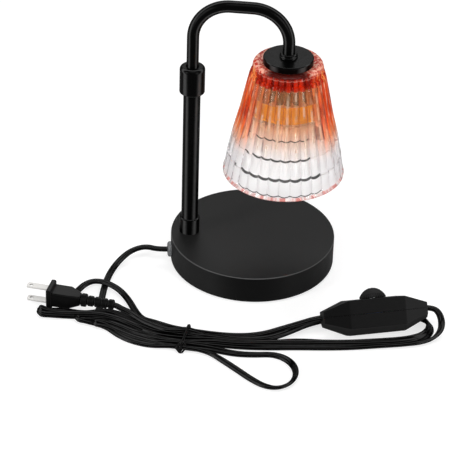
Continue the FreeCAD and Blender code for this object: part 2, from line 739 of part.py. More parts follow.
def base_wires():
    """Conductors from the cord to the crimps and from the crimps up into the pole."""
    low = PLATE_TOP + CRIMP_R
    mouth = BASE_H - LOWER_TAIL
    x = CRIMP_X
    wires = []
    for y, side in zip(CRIMP_Y, (-1, 1)):
        beside = side * WIRE_PITCH / 2
        root = V(*gland_point(BASE_R - CORD_TAIL - SEAT_GAP)) + V(0, beside, 0)
        feed = [root, root + V(5.5, side * 1.5, -1.0), V(x + 6.0, y * 0.6, low + 1.4),
                V(x + 7.0, y - beside, low), V(x, y - beside, low)]
        rise = [V(x, y + beside, low), V(x + 4.5, y + beside, low), V(x + 3.5, y * 0.8, low + 6.4),
                V(x - 6.0, y * 0.3, mouth - 2.2), V(-POLE_X, side * 1.7, mouth - 1.9),
                V(-POLE_X, side * 1.7, mouth + 3.0)]
        wires.append(along(bend_path(feed), WIRE_R))
        wires.append(along(bend_path(rise), WIRE_R))
    return wires


# ---- switch on the cord -----------------------------------------------------------------
def switch_outline(half, up, down, reach, drop):
    """Corners of a section of the housing, flat on top and chamfered below."""
    return [(-half, up), (half, up), (half, -down + drop), (half - reach, -down),
            (-half + reach, -down), (-half, -down + drop)]


def middle_outline(wall):
    """Section of the straight middle, inset by a wall."""
    reach = SWITCH_CHAMFER * math.cos(math.radians(SWITCH_ROLL))
    drop = SWITCH_CHAMFER * math.sin(math.radians(SWITCH_ROLL))
    return switch_outline(SWITCH_HALF_W - wall, SWITCH_UP - wall, SWITCH_DOWN - wall, reach, drop)


def switch_housing():
    """Housing with tapered ends, hollow in the middle, bored for the cord."""
    middle = middle_outline(0)
    tip = switch_outline(*SWITCH_TIP)
    inside = middle_outline(SWITCH_WALL)
    half = SWITCH_BLOCK / 2
    end = SWITCH_L / 2
    body = Part.makeLoft([section(middle, -half), section(middle, half)], True, True)
    for side in (-1, 1):
        body = body.fuse(Part.makeLoft([section(middle, side * half), section(tip, side * end)], True, True))
    body = body.removeSplitter()
    body = body.makeFillet(SWITCH_EDGE, body.Edges)
    room = Part.makeLoft([section(inside, -half), section(inside, half)], True, True)
    bore = Part.makeCylinder(CORD_D / 2 + CORD_FIT, SWITCH_L + 10, V(-end - 5, 0, 0), V(1, 0, 0))
    body = body.cut(room).cut(bore).cut(rod(SHAFT_R + SEAT_GAP, 0, SWITCH_UP + 1))
    for side in (-1, 1):
        grip = Part.makeCylinder(GRIP_R + FIT, GRIP_L, V(side * GRIP_AT - GRIP_L / 2, 0, 0), V(1, 0, 0))
        body = body.cut(grip)
    return body


def switch_cover():
    """Upper half shell."""
    return switch_housing().common(block((SWITCH_L + 10, 60, 40), (0, 0, 20)))


def switch_base():
    """Lower half shell with the screw posts."""
    shell = switch_housing().common(block((SWITCH_L + 10, 60, 40), (0, 0, -20)))
    outside = Part.makeLoft([section(middle_outline(1.0), -SWITCH_BLOCK / 2),
                             section(middle_outline(1.0), SWITCH_BLOCK / 2)], True, True)
    for x in (-POST_X, POST_X):
        shell = shell.fuse(rod(POST_R, -SWITCH_DOWN, -SEAT_GAP, x, POST_Y).common(outside))
    for x in (-POST_X, POST_X):
        shell = shell.cut(rod(POST_SCREW_R + SCREW_FIT, -SWITCH_DOWN - 1, 1, x, POST_Y))
        shell = shell.cut(rod(POST_HEAD_R + 2 * SCREW_FIT, -SWITCH_DOWN - 1, POST_HEAD_Z, x, POST_Y))
    return shell


def switch_screws():
    """Two screws from below, their heads deep in the posts."""
    return [rod(POST_SCREW_R, POST_HEAD_Z, -1.0, x, POST_Y).fuse(
            rod(POST_HEAD_R, POST_HEAD_Z - 1.6, POST_HEAD_Z, x, POST_Y)) for x in (-POST_X, POST_X)]


def dimmer_dial():
    """Domed dial on the switch with a pointer groove."""
    low = SWITCH_UP + SEAT_GAP
    top = SWITCH_UP + DIAL_H
    dome = turned([(0, low), (DIAL_R, low), (DIAL_R, low + 2.4), (DIAL_R - 1.0, low + 4.2),
                   (DIAL_R - 3.0, top - 1.1), (DIAL_R - 5.2, top), (0, top)])
    dome = dome.cut(rod(SHAFT_R + FIT, low - 1, top - 2.0))
    groove = block((7.0, 1.2, 1.6), (DIAL_R - 3.4, 0, top))
    return dome.cut(groove)


def dial_shaft():
    """Shaft of the potentiometer, up into the dial."""
    return rod(SHAFT_R, POT_TOP + FIT, SWITCH_UP + DIAL_H - 2.3)


def potentiometer():
    """Potentiometer between the circuit board and the cover."""
    return rod(POT_R, BOARD_Z + BOARD[2] / 2, POT_TOP)


def circuit_board():
    """Board with the dimmer's triac and capacitor, on a foot that stands in the shell."""
    top = BOARD_Z + BOARD[2] / 2
    under = BOARD_Z - BOARD[2] / 2
    board = block(BOARD, (0, BOARD_Y, BOARD_Z))
    triac = block((4.5, 9.5, 9.0), (12.5, BOARD_Y, top + 4.5))
    capacitor = block((4.0, 10.0, 7.0), (-13.0, BOARD_Y, top + 3.5))
    foot = block((BOARD[0] - 6.0, BOARD_FOOT_W, under - SWITCH_FLOOR), (0, BOARD_Y, (under + SWITCH_FLOOR) / 2))
    return board.fuse([triac, capacitor, foot]).removeSplitter()


def cord_grips():
    """Sleeves that hold the cord in the housing's ends."""
    grips = []
    for side in (-1, 1):
        sleeve = Part.makeCylinder(GRIP_R, GRIP_L, V(side * GRIP_AT - GRIP_L / 2, 0, 0), V(1, 0, 0))
        bore = Part.makeCylinder(CORD_D / 2 + FIT, SWITCH_L, V(-SWITCH_L / 2, 0, 0), V(1, 0, 0))
        grips.append(sleeve.cut(bore))
    return grips


# ---- plug -------------------------------------------------------------------------------
def plug_body():
    """Moulded plug: flange, body and a four-sided taper to the strain relief."""
    flange = block(FLANGE, (FLANGE[0] / 2, 0, 0))
    flange = flange.makeFillet(0.9, flange.Edges)
    long, wide, high = PLUG_BODY
    start = FLANGE[0] - 1.0
    shoulder = FLANGE[0] + long
    corner = 2.0
    ring = [(-wide / 2, high / 2 - corner), (-wide / 2 + corner, high / 2), (wide / 2 - corner, high / 2),
            (wide / 2, high / 2 - corner), (wide / 2, -high / 2), (-wide / 2, -high / 2)]
    neck = PLUG_NECK / 2
    small = [(-neck, neck - 1.5), (-neck + 1.5, neck), (neck - 1.5, neck), (neck, neck - 1.5),
             (neck, -neck), (-neck, -neck)]
    body = Part.makeLoft([section(ring, start), section(ring, shoulder)], True, True)
    taper = Part.makeLoft([section(ring, shoulder), section(small, shoulder + PLUG_TAPER)], True, True)
    solid = flange.fuse([body, taper]).removeSplitter()
    for blade in blade_blanks(FIT):
        solid = solid.cut(blade)
    bore = Part.makeCylinder(CORD_D / 2 + CORD_FIT, 30, V(BLADE_ROOT + 6, 0, 0), V(1, 0, 0))
    return solid.cut(bore)


def blade_blanks(gap):
    """The two blades as plain bars, grown by a gap where they sit in the plug."""
    long, wide, thick = BLADE
    bars = []
    for side in (-1, 1):
        bars.append(block((long + BLADE_ROOT, wide + 2 * gap, thick + 2 * gap),
                          ((BLADE_ROOT - long) / 2, 0, side * BLADE_PITCH / 2)))
    return bars


def plug_blades():
    """Two flat blades with rounded tips and a hole near each tip."""
    blades = []
    for bar in blade_blanks(0):
        tips = [e for e in bar.Edges if e.BoundBox.XMax < 0.01 - BLADE[0]
                and e.BoundBox.ZLength > BLADE[2] / 2]
        bar = bar.makeFillet(BLADE_TIP, tips)
        blades.append(bar.cut(rod(BLADE_HOLE_R, -BLADE_PITCH, BLADE_PITCH, BLADE_HOLE_X - BLADE[0], 0)))
    return blades


def strain_relief():
    """Ribbed sleeve behind the plug, bored for the cord."""
    start = PLUG_LENGTH
    pitch = RELIEF_L / len(RELIEF_RIB_R)
    profile = []
    for k, rib in enumerate(RELIEF_RIB_R):
        core = RELIEF_R[0] + (RELIEF_R[1] - RELIEF_R[0]) * k / (len(RELIEF_RIB_R) - 1)
        x = start + k * pitch
        profile += [(x, core), (x + pitch * 0.35, core), (x + pitch * 0.45, rib), (x + pitch * 0.85, rib),
                    (x + pitch * 0.99, core)]
    profile[0] = (start, RELIEF_R[0])
    end = start + RELIEF_L
    profile[-1] = (end, RELIEF_RIB_R[-1] - 0.2)
    bore = CORD_D / 2 + CORD_FIT
    corners = [V(x, 0, r) for x, r in profile] + [V(end, 0, bore), V(start, 0, bore)]
    face = Part.Face(Part.makePolygon(corners + corners[:1]))
    return face.revolve(V(0, 0, 0), V(1, 0, 0), 360)


# ---- cord on the floor ------------------------------------------------------------------
def strand(number):
    """Where one of the six strands enters the bundle, counted from the back."""
    return (STRAND_X, STRAND_BACK - STRAND * number)


def switch_point(x, z=0.0):
    """Point on the switch's long axis as coordinates."""
    p = to_switch(Part.Vertex(V(x, 0, z))).Point
    return (p.x, p.y, p.z)


def plug_point(x, z=0.0):
    """Point on the plug's axis as coordinates."""
    p = to_plug(Part.Vertex(V(x, 0, z))).Point
    return (p.x, p.y, p.z)


def cord_base_lead():
    """From the gland down to the floor and under the strain relief into the bundle."""
    return cord("base lead", [gland_point(BASE_R + GLAND_T), gland_point(BASE_R + GLAND_T + 8.0),
                              (-92.0, -6.5, 11.5), (-104.5, -8.5, 7.5), (-114.0, -19.0, 3.5),
                              (-120.3, -34.5), (-123.1, -52.0), (-124.5, -68.5), (-125.0, -84.0),
                              (-124.5, -98.0)])


def cord_arc():
    """From the bundle under the plug, round behind it, over the base lead and back."""
    return cord("arc", [(-156.5, -97.0), (-154.0, -79.0), (-147.0, -62.0), (-134.5, -53.5, 6.6),
                        (-116.5, -56.5, 6.6), (-104.5, -69.0), (-95.5, -85.0), (-87.0, -98.0),
                        (-80.0, -108.0)])


def cord_plug_lead():
    """From the plug's strain relief down into the bundle."""
    end = PLUG_LENGTH + RELIEF_L
    return cord("plug lead", [plug_point(end - 9.0), plug_point(end + 1.0), (-102.5, -96.2, 8.6),
                              (-92.5, -98.6, 3.4)])


def cord_switch_lead():
    """From the bundle to the left end of the switch."""
    return cord("switch lead", [strand(0), (-30.0, -118.9), (-8.0, -119.5), (11.0, -115.0),
                                (28.0, -110.5, 6.4), (41.5, -112.2, 12.8),
                                switch_point(-SWITCH_L / 2 - 6.0, -0.4), switch_point(-GRIP_AT - 3.0)])


def cord_inner_loop():
    """From the bundle, behind the switch, round its right end and back to the bundle."""
    return cord("inner loop", [strand(1), (-30.0, -124.3), (-8.0, -125.3), (10.0, -123.3),
                               (22.0, -117.5), (33.5, -109.5), (47.0, -99.0), (64.0, -91.0),
                               (85.0, -86.5), (107.0, -84.0), (127.5, -84.0), (141.5, -87.5),
                               (149.0, -95.5), (148.8, -106.5), (140.5, -115.2), (126.0, -119.5),
                               (104.0, -122.0), (81.0, -124.2), (59.0, -123.3), (37.0, -122.6),
                               (14.0, -127.2), (-8.0, -129.9), (-30.0, -129.0), strand(2)])


def cord_outer_loop():
    """From the right end of the switch round outside the inner loop to the bundle."""
    return cord("outer loop", [switch_point(GRIP_AT + 3.0), switch_point(SWITCH_L / 2 + 6.0, -0.3),
                               (156.0, -95.5, 13.5), (157.5, -104.5, 6.0), (151.5, -113.5),
                               (141.5, -120.2), (127.0, -124.0), (104.0, -126.5), (81.0, -129.2),
                               (59.0, -130.9), (37.0, -131.6), (14.0, -133.3), (-8.0, -134.8),
                               (-30.0, -133.8), strand(3)])


def cord_small_loop():
    """Loop that stands out of the bundle in front."""
    return cord("small loop", [strand(4), (-30.0, -138.7), (-12.0, -143.5), (4.0, -143.6),
                               (18.0, -142.0), (30.0, -147.0), (38.0, -157.0), (40.0, -169.5),
                               (35.0, -181.5), (24.0, -187.5), (11.5, -184.5), (0.5, -175.0),
                               (-9.5, -164.4), (-20.3, -153.6), (-30.5, -144.0), (-39.5, -140.4),
                               strand(5)])


def cord_bundle(strands, tie_room):
    """Outer shape of the folded cord between the plug and the tie, with strand sockets."""
    outline = [(-46.0, -113.4), (-62.0, -111.0), (-80.0, -103.5), (-92.0, -97.5), (-104.0, -94.6),
               (-125.0, -92.9), (-150.0, -92.9), (-172.0, -92.7), (-177.5, -96.0), (-173.5, -100.2),
               (-144.4, -101.2), (-139.9, -105.9), (-118.9, -112.0), (-105.7, -126.8), (-97.2, -132.5),
               (-88.9, -136.1), (-72.6, -139.4), (-56.0, -141.8), (-46.0, -141.8)]
    corners = [V(x, y, 0) for x, y in outline]
    body = Part.Face(Part.makePolygon(corners + corners[:1])).extrude(V(0, 0, CORD_D))
    for other in strands:
        body = body.cut(other)
    return body.cut(tie_room)


def tie_band(grow=0.0):
    """Flat loop round the bundle at the tie."""
    deep = TIE_BACK - TIE_FRONT
    middle = (TIE_BACK + TIE_FRONT) / 2
    outer = block((TIE_W + 2 * grow, deep, CORD_D + TIE_T), (TIE_X, middle, (CORD_D + TIE_T) / 2))
    inner = block((TIE_W + 2, deep - 2 * TIE_T, CORD_D - TIE_T), (TIE_X, middle, (CORD_D + TIE_T) / 2))
    return outer.cut(inner)


def twist_tie():
    """Plastic-covered wire round the bundle, its twisted ends on the floor in front."""
    ends = Part.makeCylinder(TIE_END_R, 8.0, V(TIE_X, TIE_FRONT + TIE_T / 2, TIE_END_R), V(-0.45, -0.89, 0))
    return tie_band().fuse(ends)


# ---- export -----------------------------------------------------------------------------
def export(name, shape):
    """Write one node; a list becomes separate solids in it."""
    parts = shape if isinstance(shape, list) else [shape]
    solids = [s for part in parts for s in part.Solids]
    whole = solids[0] if len(solids) == 1 else Part.makeCompound(solids)
    whole.exportStep(f"parts/{name}.step")
    valid = all(s.isValid() for s in solids)
    print(f"{name}: {len(solids)} solid(s), volume {sum(s.Volume for s in solids):.0f}, valid {valid}")


def place(shape, move):
    """Apply one placement to a piece or to each piece of a list."""
    return [move(s) for s in shape] if isinstance(shape, list) else move(shape)


def main():
    os.makedirs("parts", exist_ok=True)
    for make in (base_shell, ballast_weight, base_plate, foot_pad, base_screws, cable_gland,
                 inner_cord, cord_clamp, wire_crimps, base_wires):
        export(make.__name__, make())
    for make in (lower_tube, lead_coil, pole_ferrule, pole_washer, pole_nut, lock_collar):
        export(make.__name__, place(make(), to_pole))
    for make in (collet, upper_tube, guide_bush, arm_lead):
        export(make.__name__, place(make(), to_arm))
    for make in (tube_ring, shade_cap, head_nut, holder_cup, glass_shade, shade_gasket, clamp_ring,
                 lamp_socket, socket_contacts, socket_spacers, socket_screws, bulb_base,
                 bulb_reflector, bulb_front, bulb_capsule, bulb_pins):
        export(make.__name__, place(make(), to_head))
    for make in (switch_cover, switch_base, switch_screws, dimmer_dial, dial_shaft, potentiometer,
                 circuit_board, cord_grips):
        export(make.__name__, place(make(), to_switch))
    for make in (plug_body, plug_blades, strain_relief):
        export(make.__name__, place(make(), to_plug))
    strands = []
    for make in (cord_base_lead, cord_arc, cord_plug_lead, cord_switch_lead, cord_inner_loop,
                 cord_outer_loop, cord_small_loop):
        solid = make()
        strands.append(solid)
        export(make.__name__, solid)
    export("cord_bundle", cord_bundle(strands, tie_band(FIT)))
    export("twist_tie", twist_tie())


main()
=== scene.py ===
import math

import bmesh
import bpy
from mathutils import Matrix, Vector


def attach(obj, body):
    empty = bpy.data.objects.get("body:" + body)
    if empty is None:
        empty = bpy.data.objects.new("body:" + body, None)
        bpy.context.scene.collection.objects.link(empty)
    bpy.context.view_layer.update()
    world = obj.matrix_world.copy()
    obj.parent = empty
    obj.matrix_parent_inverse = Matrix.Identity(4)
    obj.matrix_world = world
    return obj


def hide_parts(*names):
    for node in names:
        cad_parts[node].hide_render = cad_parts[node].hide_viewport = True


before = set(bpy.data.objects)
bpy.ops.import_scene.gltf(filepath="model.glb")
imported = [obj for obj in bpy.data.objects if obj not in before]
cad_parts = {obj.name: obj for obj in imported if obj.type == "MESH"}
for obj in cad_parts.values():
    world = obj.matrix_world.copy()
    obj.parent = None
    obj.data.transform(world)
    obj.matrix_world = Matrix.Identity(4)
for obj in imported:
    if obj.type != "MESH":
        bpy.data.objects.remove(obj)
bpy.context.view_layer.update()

# ---- view, light and floor ---------------------------------------------------------------
# A long lens looks down on the lamp at some thirty-three degrees, rolled by two. The lamp stands
# on a plain white table, under four soft panels in an even white room.
VIEW_DOWN = math.radians(33.48)
VIEW_ROLL = math.radians(1.93)
VIEW_TARGET = Vector((-0.01507, 0.0, 0.02173))
VIEW_DISTANCE = 1.8
LENS_MM = 160.70
SENSOR_MM = 36.0
LAMP_MIDDLE = Vector((0.0, -0.03, 0.09))
ROOM_LEVEL = 0.22
TABLE_GLOW = 0.71
TABLE_DROP = 0.0002


class Field:
    """A quantity that varies over a piece: one socket among its material's nodes."""

    def __init__(self, material, socket=None):
        self.material = material
        self.socket = socket

    def node(self, kind, inputs=None, out=0, **settings):
        """Add a node fed by fields and plain values; one of its outputs is the new field."""
        tree = self.material.node_tree
        node = tree.nodes.new("ShaderNode" + kind)
        for setting, value in settings.items():
            setattr(node, setting, value)
        for place, value in (inputs or {}).items():
            if isinstance(value, Field):
                tree.links.new(value.socket, node.inputs[place])
            else:
                node.inputs[place].default_value = value
        return Field(self.material, node.outputs[out])

    def maths(self, operation, *values):
        return self.node("Math", dict(enumerate(values)), operation=operation)

    def __add__(self, other):
        return self.maths("ADD", self, other)

    __radd__ = __add__

    def __sub__(self, other):
        return self.maths("SUBTRACT", self, other)

    def __rsub__(self, other):
        return self.maths("SUBTRACT", other, self)

    def __mul__(self, other):
        return self.maths("MULTIPLY", self, other)

    __rmul__ = __mul__

    def ramp(self, low, high):
        """Smooth step from 0 at low to 1 at high, which may also lie below low."""
        return self.node("MapRange", {"Value": self, "From Min": low, "From Max": high},
                         interpolation_type="SMOOTHSTEP")

    def tint(self, dark, light):
        """Colour between two, by this field."""
        ends = [c if isinstance(c, Field) else (*c, 1.0) for c in (dark, light)]
        return self.node("Mix", {0: self, 6: ends[0], 7: ends[1]}, out=2, data_type="RGBA")

    def drives(self, socket):
        """Feed this field into a socket of the material's own shader."""
        tree = self.material.node_tree
        tree.links.new(self.socket, tree.nodes["Principled BSDF"].inputs[socket])


def finish(name, colour, roughness, **sockets):
    """A material with the values that are the same all over the piece."""
    material = bpy.data.materials.new(name)
    material.use_nodes = True
    shader = material.node_tree.nodes["Principled BSDF"]
    shader.inputs["Base Color"].default_value = (*colour, 1.0)
    shader.inputs["Roughness"].default_value = roughness
    for socket, value in sockets.items():
        shader.inputs[socket.replace("_", " ")].default_value = value
    return material


def position(material):
    """Where a point lies on the lamp, in metres."""
    return Field(material).node("TexCoord", out="Object")


def grain(material, scale, detail=2.0):
    """Even grain in the piece's own space, from 0 to 1; the scale is in grains a metre."""
    place = position(material)
    return place.node("TexNoise", {"Vector": place, "Scale": scale, "Detail": detail})


def mottled(name, colour, roughness, scale, dark, light, detail=2.0, **sockets):
    """A finish whose colour wanders between two along an even grain."""
    material = finish(name, colour, roughness, **sockets)
    grain(material, scale, detail).tint(dark, light).drives("Base Color")
    return material


def most(*fields):
    """The largest of several fields."""
    largest = fields[0]
    for field in fields[1:]:
        largest = largest.maths("MAXIMUM", largest, field)
    return largest


def in_view(owner):
    """1 where the camera sees a thing, plainly or through the glass; 0 for the light it gives off."""
    return most(*[Field(owner).node("LightPath", out=f"Is {ray} Ray")
                  for ray in ("Camera", "Transmission")])


def new_object(name, data, material):
    """Put a mesh or curve of one material into the scene."""
    thing = bpy.data.objects.new(name, data)
    data.materials.append(material)
    bpy.context.collection.objects.link(thing)
    return thing


camera = bpy.data.objects.new("camera", bpy.data.cameras.new("camera"))
bpy.context.collection.objects.link(camera)
bpy.context.scene.camera = camera
camera.data.sensor_width = SENSOR_MM
camera.data.lens = LENS_MM
view_back = Vector((0.0, -math.cos(VIEW_DOWN), math.sin(VIEW_DOWN)))
view_up = Vector((0.0, math.sin(VIEW_DOWN), math.cos(VIEW_DOWN)))
view_right = Vector((1.0, 0.0, 0.0))
rolled_right = math.cos(VIEW_ROLL) * view_right + math.sin(VIEW_ROLL) * view_up
rolled_up = math.cos(VIEW_ROLL) * view_up - math.sin(VIEW_ROLL) * view_right
camera.matrix_world = (Matrix.Translation(VIEW_TARGET + VIEW_DISTANCE * view_back)
                       @ Matrix((rolled_right, rolled_up, view_back)).transposed().to_4x4())

bpy.context.scene.view_settings.view_transform = "Standard"
room = bpy.data.worlds.new("white_room")
bpy.context.scene.world = room
room.use_nodes = True
room_light = room.node_tree.nodes["Background"]
room_strength = in_view(room) * (1.0 - ROOM_LEVEL) + ROOM_LEVEL
room.node_tree.links.new(room_strength.socket, room_light.inputs["Strength"])
room_light.inputs["Color"].default_value = (1.0, 1.0, 1.0, 1.0)


def soft_panel(name, place, width, height, power):
    """A rectangular light that faces the lamp; its power is in watts."""
    panel = bpy.data.objects.new(name, bpy.data.lights.new(name, "AREA"))
    panel.data.shape = "RECTANGLE"
    panel.data.size = width
    panel.data.size_y = height
    panel.data.energy = power
    panel.location = place
    panel.rotation_euler = (LAMP_MIDDLE - Vector(place)).to_track_quat("-Z", "Y").to_euler()
    bpy.context.collection.objects.link(panel)


soft_panel("left_panel", (-1.05, -0.70, 0.50), 0.30, 1.0, 11.0)
soft_panel("right_panel", (0.95, -0.95, 0.55), 0.30, 1.0, 11.0)
soft_panel("back_panel", (0.0, 1.10, 0.95), 1.4, 0.40, 5.0)
soft_panel("over_panel", (0.10, -0.50, 1.45), 0.9, 0.5, 6.0)

white_table = mottled("white_table", (0.40, 0.40, 0.40), 0.6, 6.0, (0.39, 0.39, 0.39),
                      (0.41, 0.41, 0.41), Emission_Strength=1.0)
(in_view(white_table) * TABLE_GLOW).drives("Emission Color")
table_form = bmesh.new()
bmesh.ops.create_grid(table_form, x_segments=4, y_segments=4, size=4.0,
                      matrix=Matrix.Translation((0, 0, -TABLE_DROP)))
table_data = bpy.data.meshes.new("table_top")
table_form.to_mesh(table_data)
table_form.free()
new_object("table_top", table_data, white_table)

# ---- cord --------------------------------------------------------------------------------
# Flat twin lead in soft black PVC, two round cores side by side: one length from the foot to the
# dimmer, one from the dimmer to the plug, folded to a hank on the table. A point of a route is x
# and y, and where it isn't flat on the table a height, all in millimetres, and a lean in degrees.
CORD_W = 0.0058
CORD_T = 0.0030
CORE_SPAN = 276
CORE_STEPS = 12
LAMP_CORD = (
    (-71.2, -8.19, 10.5), (-80.5, -9.26, 10.5), (-92, -6.5, 11.5), (-104.5, -8.5, 7.5),
    (-114, -19, 3.5), (-120.3, -34.5), (-123.1, -52), (-124.3, -68.5), (-124.6, -81), (-126, -91),
    (-131.5, -97.4), (-142, -98.8), (-154, -99.6, 0, 15), (-164, -100.2, 0, 30),
    (-171.4, -100.4, 0, 45), (-174.6, -97.6, 0, 60), (-173.6, -94.8, 0, 60),
    (-170.6, -94.8, 0, 45), (-166.5, -96.3, 0, 30), (-160.5, -95.9, 0, 10), (-156.2, -90),
    (-154, -79), (-145.5, -62.5), (-140.6, -54.3, 2.5), (-133.3, -50.8, 4.2),
    (-124.8, -52.2, 4.8), (-116.5, -57.1, 4.8), (-108.5, -63.1, 3), (-101.3, -74.9, 2),
    (-96, -88.9, 2.6, 5), (-91.4, -98.3, 2.8, 10), (-86.7, -102.5, 2.4, 20),
    (-80.8, -104.3, 0, 30), (-73.2, -107.9, 0, 33), (-64, -112.4, 0, 40), (-50, -115.9, 0, 45),
    (-30, -118.9, 0, 24), (-8, -119.5, 0, 10), (11, -115), (28, -110.5, 5.4),
    (41.5, -112.2, 12.3), (52.1, -112.8, 17.1), (63.8, -109.9, 17.5))
PLUG_CORD = (
    (137.9, -93.1, 17.5), (149.6, -90.6, 17.3), (156, -95.5, 13.5), (157.5, -104.5, 6.4, 20),
    (151.5, -113.5, 2.9, 50), (141.5, -120.2, 0, 50), (127, -124, 0, 35), (104, -126.5, 0, 20),
    (81, -129.2), (59, -130.9), (37, -131.6), (14, -133.3), (-8, -134.8, 0, 20),
    (-30, -133.8, 0, 40), (-50, -131.5, 0, 50), (-63.2, -129.9, 0, 40), (-73.1, -127.6, 0, 30),
    (-81.4, -124.3, 0, 20), (-89.8, -120.1, 0, 10), (-96.5, -116.8, 1.8), (-103.3, -113.5, 2.4),
    (-111.6, -110.4, 3.6), (-118.3, -108.6, 4.4, 15), (-124.1, -107.9, 4.6, 35),
    (-128.2, -108.5, 4.6, 55), (-126.7, -111.5, 4.6, 55), (-121.7, -112.6, 4.2, 30),
    (-115.9, -113.7, 3), (-109.7, -115.9), (-102.8, -120.3), (-96.1, -124.1), (-87.7, -128),
    (-79.4, -130.8), (-71.2, -132.6, 0, 20), (-63.1, -133.7, 0, 40), (-50, -135.4, 0, 50),
    (-30, -138.7, 0, 33), (-12, -143.5, 0, 10), (4, -143.6), (18, -142), (28.5, -147, 0, 20),
    (35.8, -157, 0, 33), (37.6, -169.5, 0, 50), (33, -181.5, 0, 50), (22.5, -187.8, 0, 33),
    (11.5, -184.5, 0, 10), (0.5, -175), (-9.5, -164.4), (-20.3, -153.6), (-30.5, -144.6, 0, 20),
    (-39.5, -141, 0, 33), (-50, -139.3, 0, 50), (-62.9, -137.2, 0, 40), (-72.7, -136.3, 0, 20),
    (-80.8, -135.1), (-89.1, -133), (-97.4, -129.5), (-105.4, -124.2), (-111.5, -118.3),
    (-115.9, -113.6), (-120.7, -110.5), (-126.5, -108.6, 0, 15), (-134, -107.2, 0, 30),
    (-140.3, -105.9, 0, 50), (-143.4, -103.1, 0, 60), (-140.3, -101.3, 0, 50),
    (-135.3, -101.3, 0, 30), (-128.7, -101.3), (-120.5, -101.5), (-112.1, -103.9),
    (-103.6, -107.9), (-96.8, -111.6), (-90, -115.7, 0, 10), (-81.6, -120.5, 0, 20),
    (-73.3, -123.9, 0, 30), (-63.4, -126.1, 0, 40), (-50, -127.6, 0, 50), (-30, -131.5, 6.3, 15),
    (-8, -132.4, 5, 10), (14, -130.2, 4.6), (37, -127.1, 3.8), (59, -127.1, 4.2),
    (81, -126.7, 4.6), (104, -124.4, 5, 20), (126, -121.8, 5.6, 35), (139.6, -117, 6.4, 50),
    (146.3, -108, 6.8, 55), (146.2, -96.8, 6.8, 55), (139.4, -89.6, 6.6, 50),
    (127, -86.3, 5.8, 33), (107, -86, 5, 20), (85, -88.2, 4.6), (64.5, -93, 4.6),
    (48.5, -101, 4.6), (35.5, -111, 4.6), (24, -119.5, 4.6), (11, -125.4, 4.6),
    (-8, -127.6, 4.8, 5), (-30, -126.6, 6.3, 15), (-50, -119.8, 0, 50), (-63.8, -117.8, 0, 40),
    (-73.8, -114.2, 0, 30), (-82.1, -110.2, 0, 25), (-90.7, -104.6, 0, 20), (-97.5, -99.6),
    (-103.5, -95.8), (-112.1, -91.7), (-120.5, -89.4), (-137, -95.4, 2.4, 15),
    (-153, -95.2, 4.8, 10), (-165.5, -95.9, 5, 20), (-170.2, -94.7, 6.4, 45),
    (-173.3, -94.7, 6.8, 60), (-174.2, -97.3, 6.8, 60), (-171, -99.8, 6.3, 45),
    (-165.1, -99.4, 5, 15), (-156.8, -99.8, 5), (-144.5, -99, 4.8), (-132.2, -98.3, 4.8),
    (-121.5, -99.1, 4.6), (-111.3, -102.5, 4.6), (-102.9, -106.8, 4.4), (-96.9, -109.7, 3.8),
    (-90.2, -112.8, 3, 15), (-81.8, -116.5, 2, 25), (-73.5, -119.6, 0, 30),
    (-63.6, -121.9, 0, 40), (-50, -123.7, 0, 50), (-30, -129, 0, 40), (-8, -129.9, 0, 20),
    (14, -127.2), (37, -122.6), (59, -123.3), (81, -124.2), (104, -122, 0, 20),
    (126, -119.5, 0, 35), (140.5, -115.2, 0, 50), (148.8, -106.5, 0, 55), (149, -95.5, 0, 55),
    (141.5, -87.5, 0, 50), (127.5, -84, 0, 33), (107, -84, 0, 20), (85, -86.5), (64, -91),
    (47, -99), (33.5, -109.5), (22, -117.5), (10, -123.3), (-8, -125.3, 0, 10),
    (-30, -124.3, 0, 33), (-50, -117.8, 6.9, 10), (-65.3, -121.3, 6.6, 5), (-75.3, -116.2, 6.2),
    (-83.3, -111.2, 5.8), (-89.7, -106.7, 5.8), (-94.9, -101.8, 6.2), (-100.9, -97.9, 7.6),
    (-107.6, -96.5, 9.8), (-111.5, -94.4, 11.2), (-121.2, -92.3, 11.2))


def slant(material):
    """How far the surface turns away from the eye, from 0 square on to 1 edge on."""
    return Field(material).node("LayerWeight", {"Blend": 0.5}, out="Facing")


def relief(height, depth, strength=1.0):
    """Bump of a depth in metres from a field."""
    height.node("Bump", {"Height": height, "Distance": depth, "Strength": strength}).drives("Normal")


cord_skin = finish("black_cord_pvc", (0.001, 0.001, 0.001), 0.14, Specular_IOR_Level=0.035)
scuff = grain(cord_skin, 260.0, 3.0)
cord_slant = slant(cord_skin)
# Painted highlight: thin light lines along the crown and flanks of each core, where its surface turns a
# given way from the eye.
cord_crown_highlight = cord_slant.ramp(0.40, 0.455) * cord_slant.ramp(0.53, 0.47) * 0.5
cord_flank_highlight = cord_slant.ramp(0.08, 0.15) * cord_slant.ramp(0.30, 0.20)
painted_cord_highlight = most(cord_flank_highlight, cord_crown_highlight) * (scuff * 0.6 + 0.6)
painted_cord_highlight.tint((0.0006, 0.0006, 0.0006), (0.040, 0.040, 0.040)).drives("Base Color")
(scuff * 0.06 + 0.10).drives("Roughness")
relief(grain(cord_skin, 90.0), 0.0002, 0.10)

twin_outline = []
for side in (1, -1):
    for step in range(CORE_STEPS + 1):
        swing = math.radians(CORE_SPAN / 2 - step * CORE_SPAN / CORE_STEPS)
        twin_outline.append((side * (CORD_W - CORD_T) / 2 + side * CORD_T / 2 * math.cos(swing),
                             side * CORD_T / 2 * math.sin(swing)))
twin_section = bpy.data.curves.new("twin_section", "CURVE")
twin_section.dimensions = "3D"
ring = twin_section.splines.new("POLY")
ring.points.add(len(twin_outline) - 1)
for point, (sideways, up) in zip(ring.points, twin_outline):
    point.co = (sideways, up, 0.0, 1.0)
ring.use_cyclic_u = True
section_holder = bpy.data.objects.new("twin_section", twin_section)


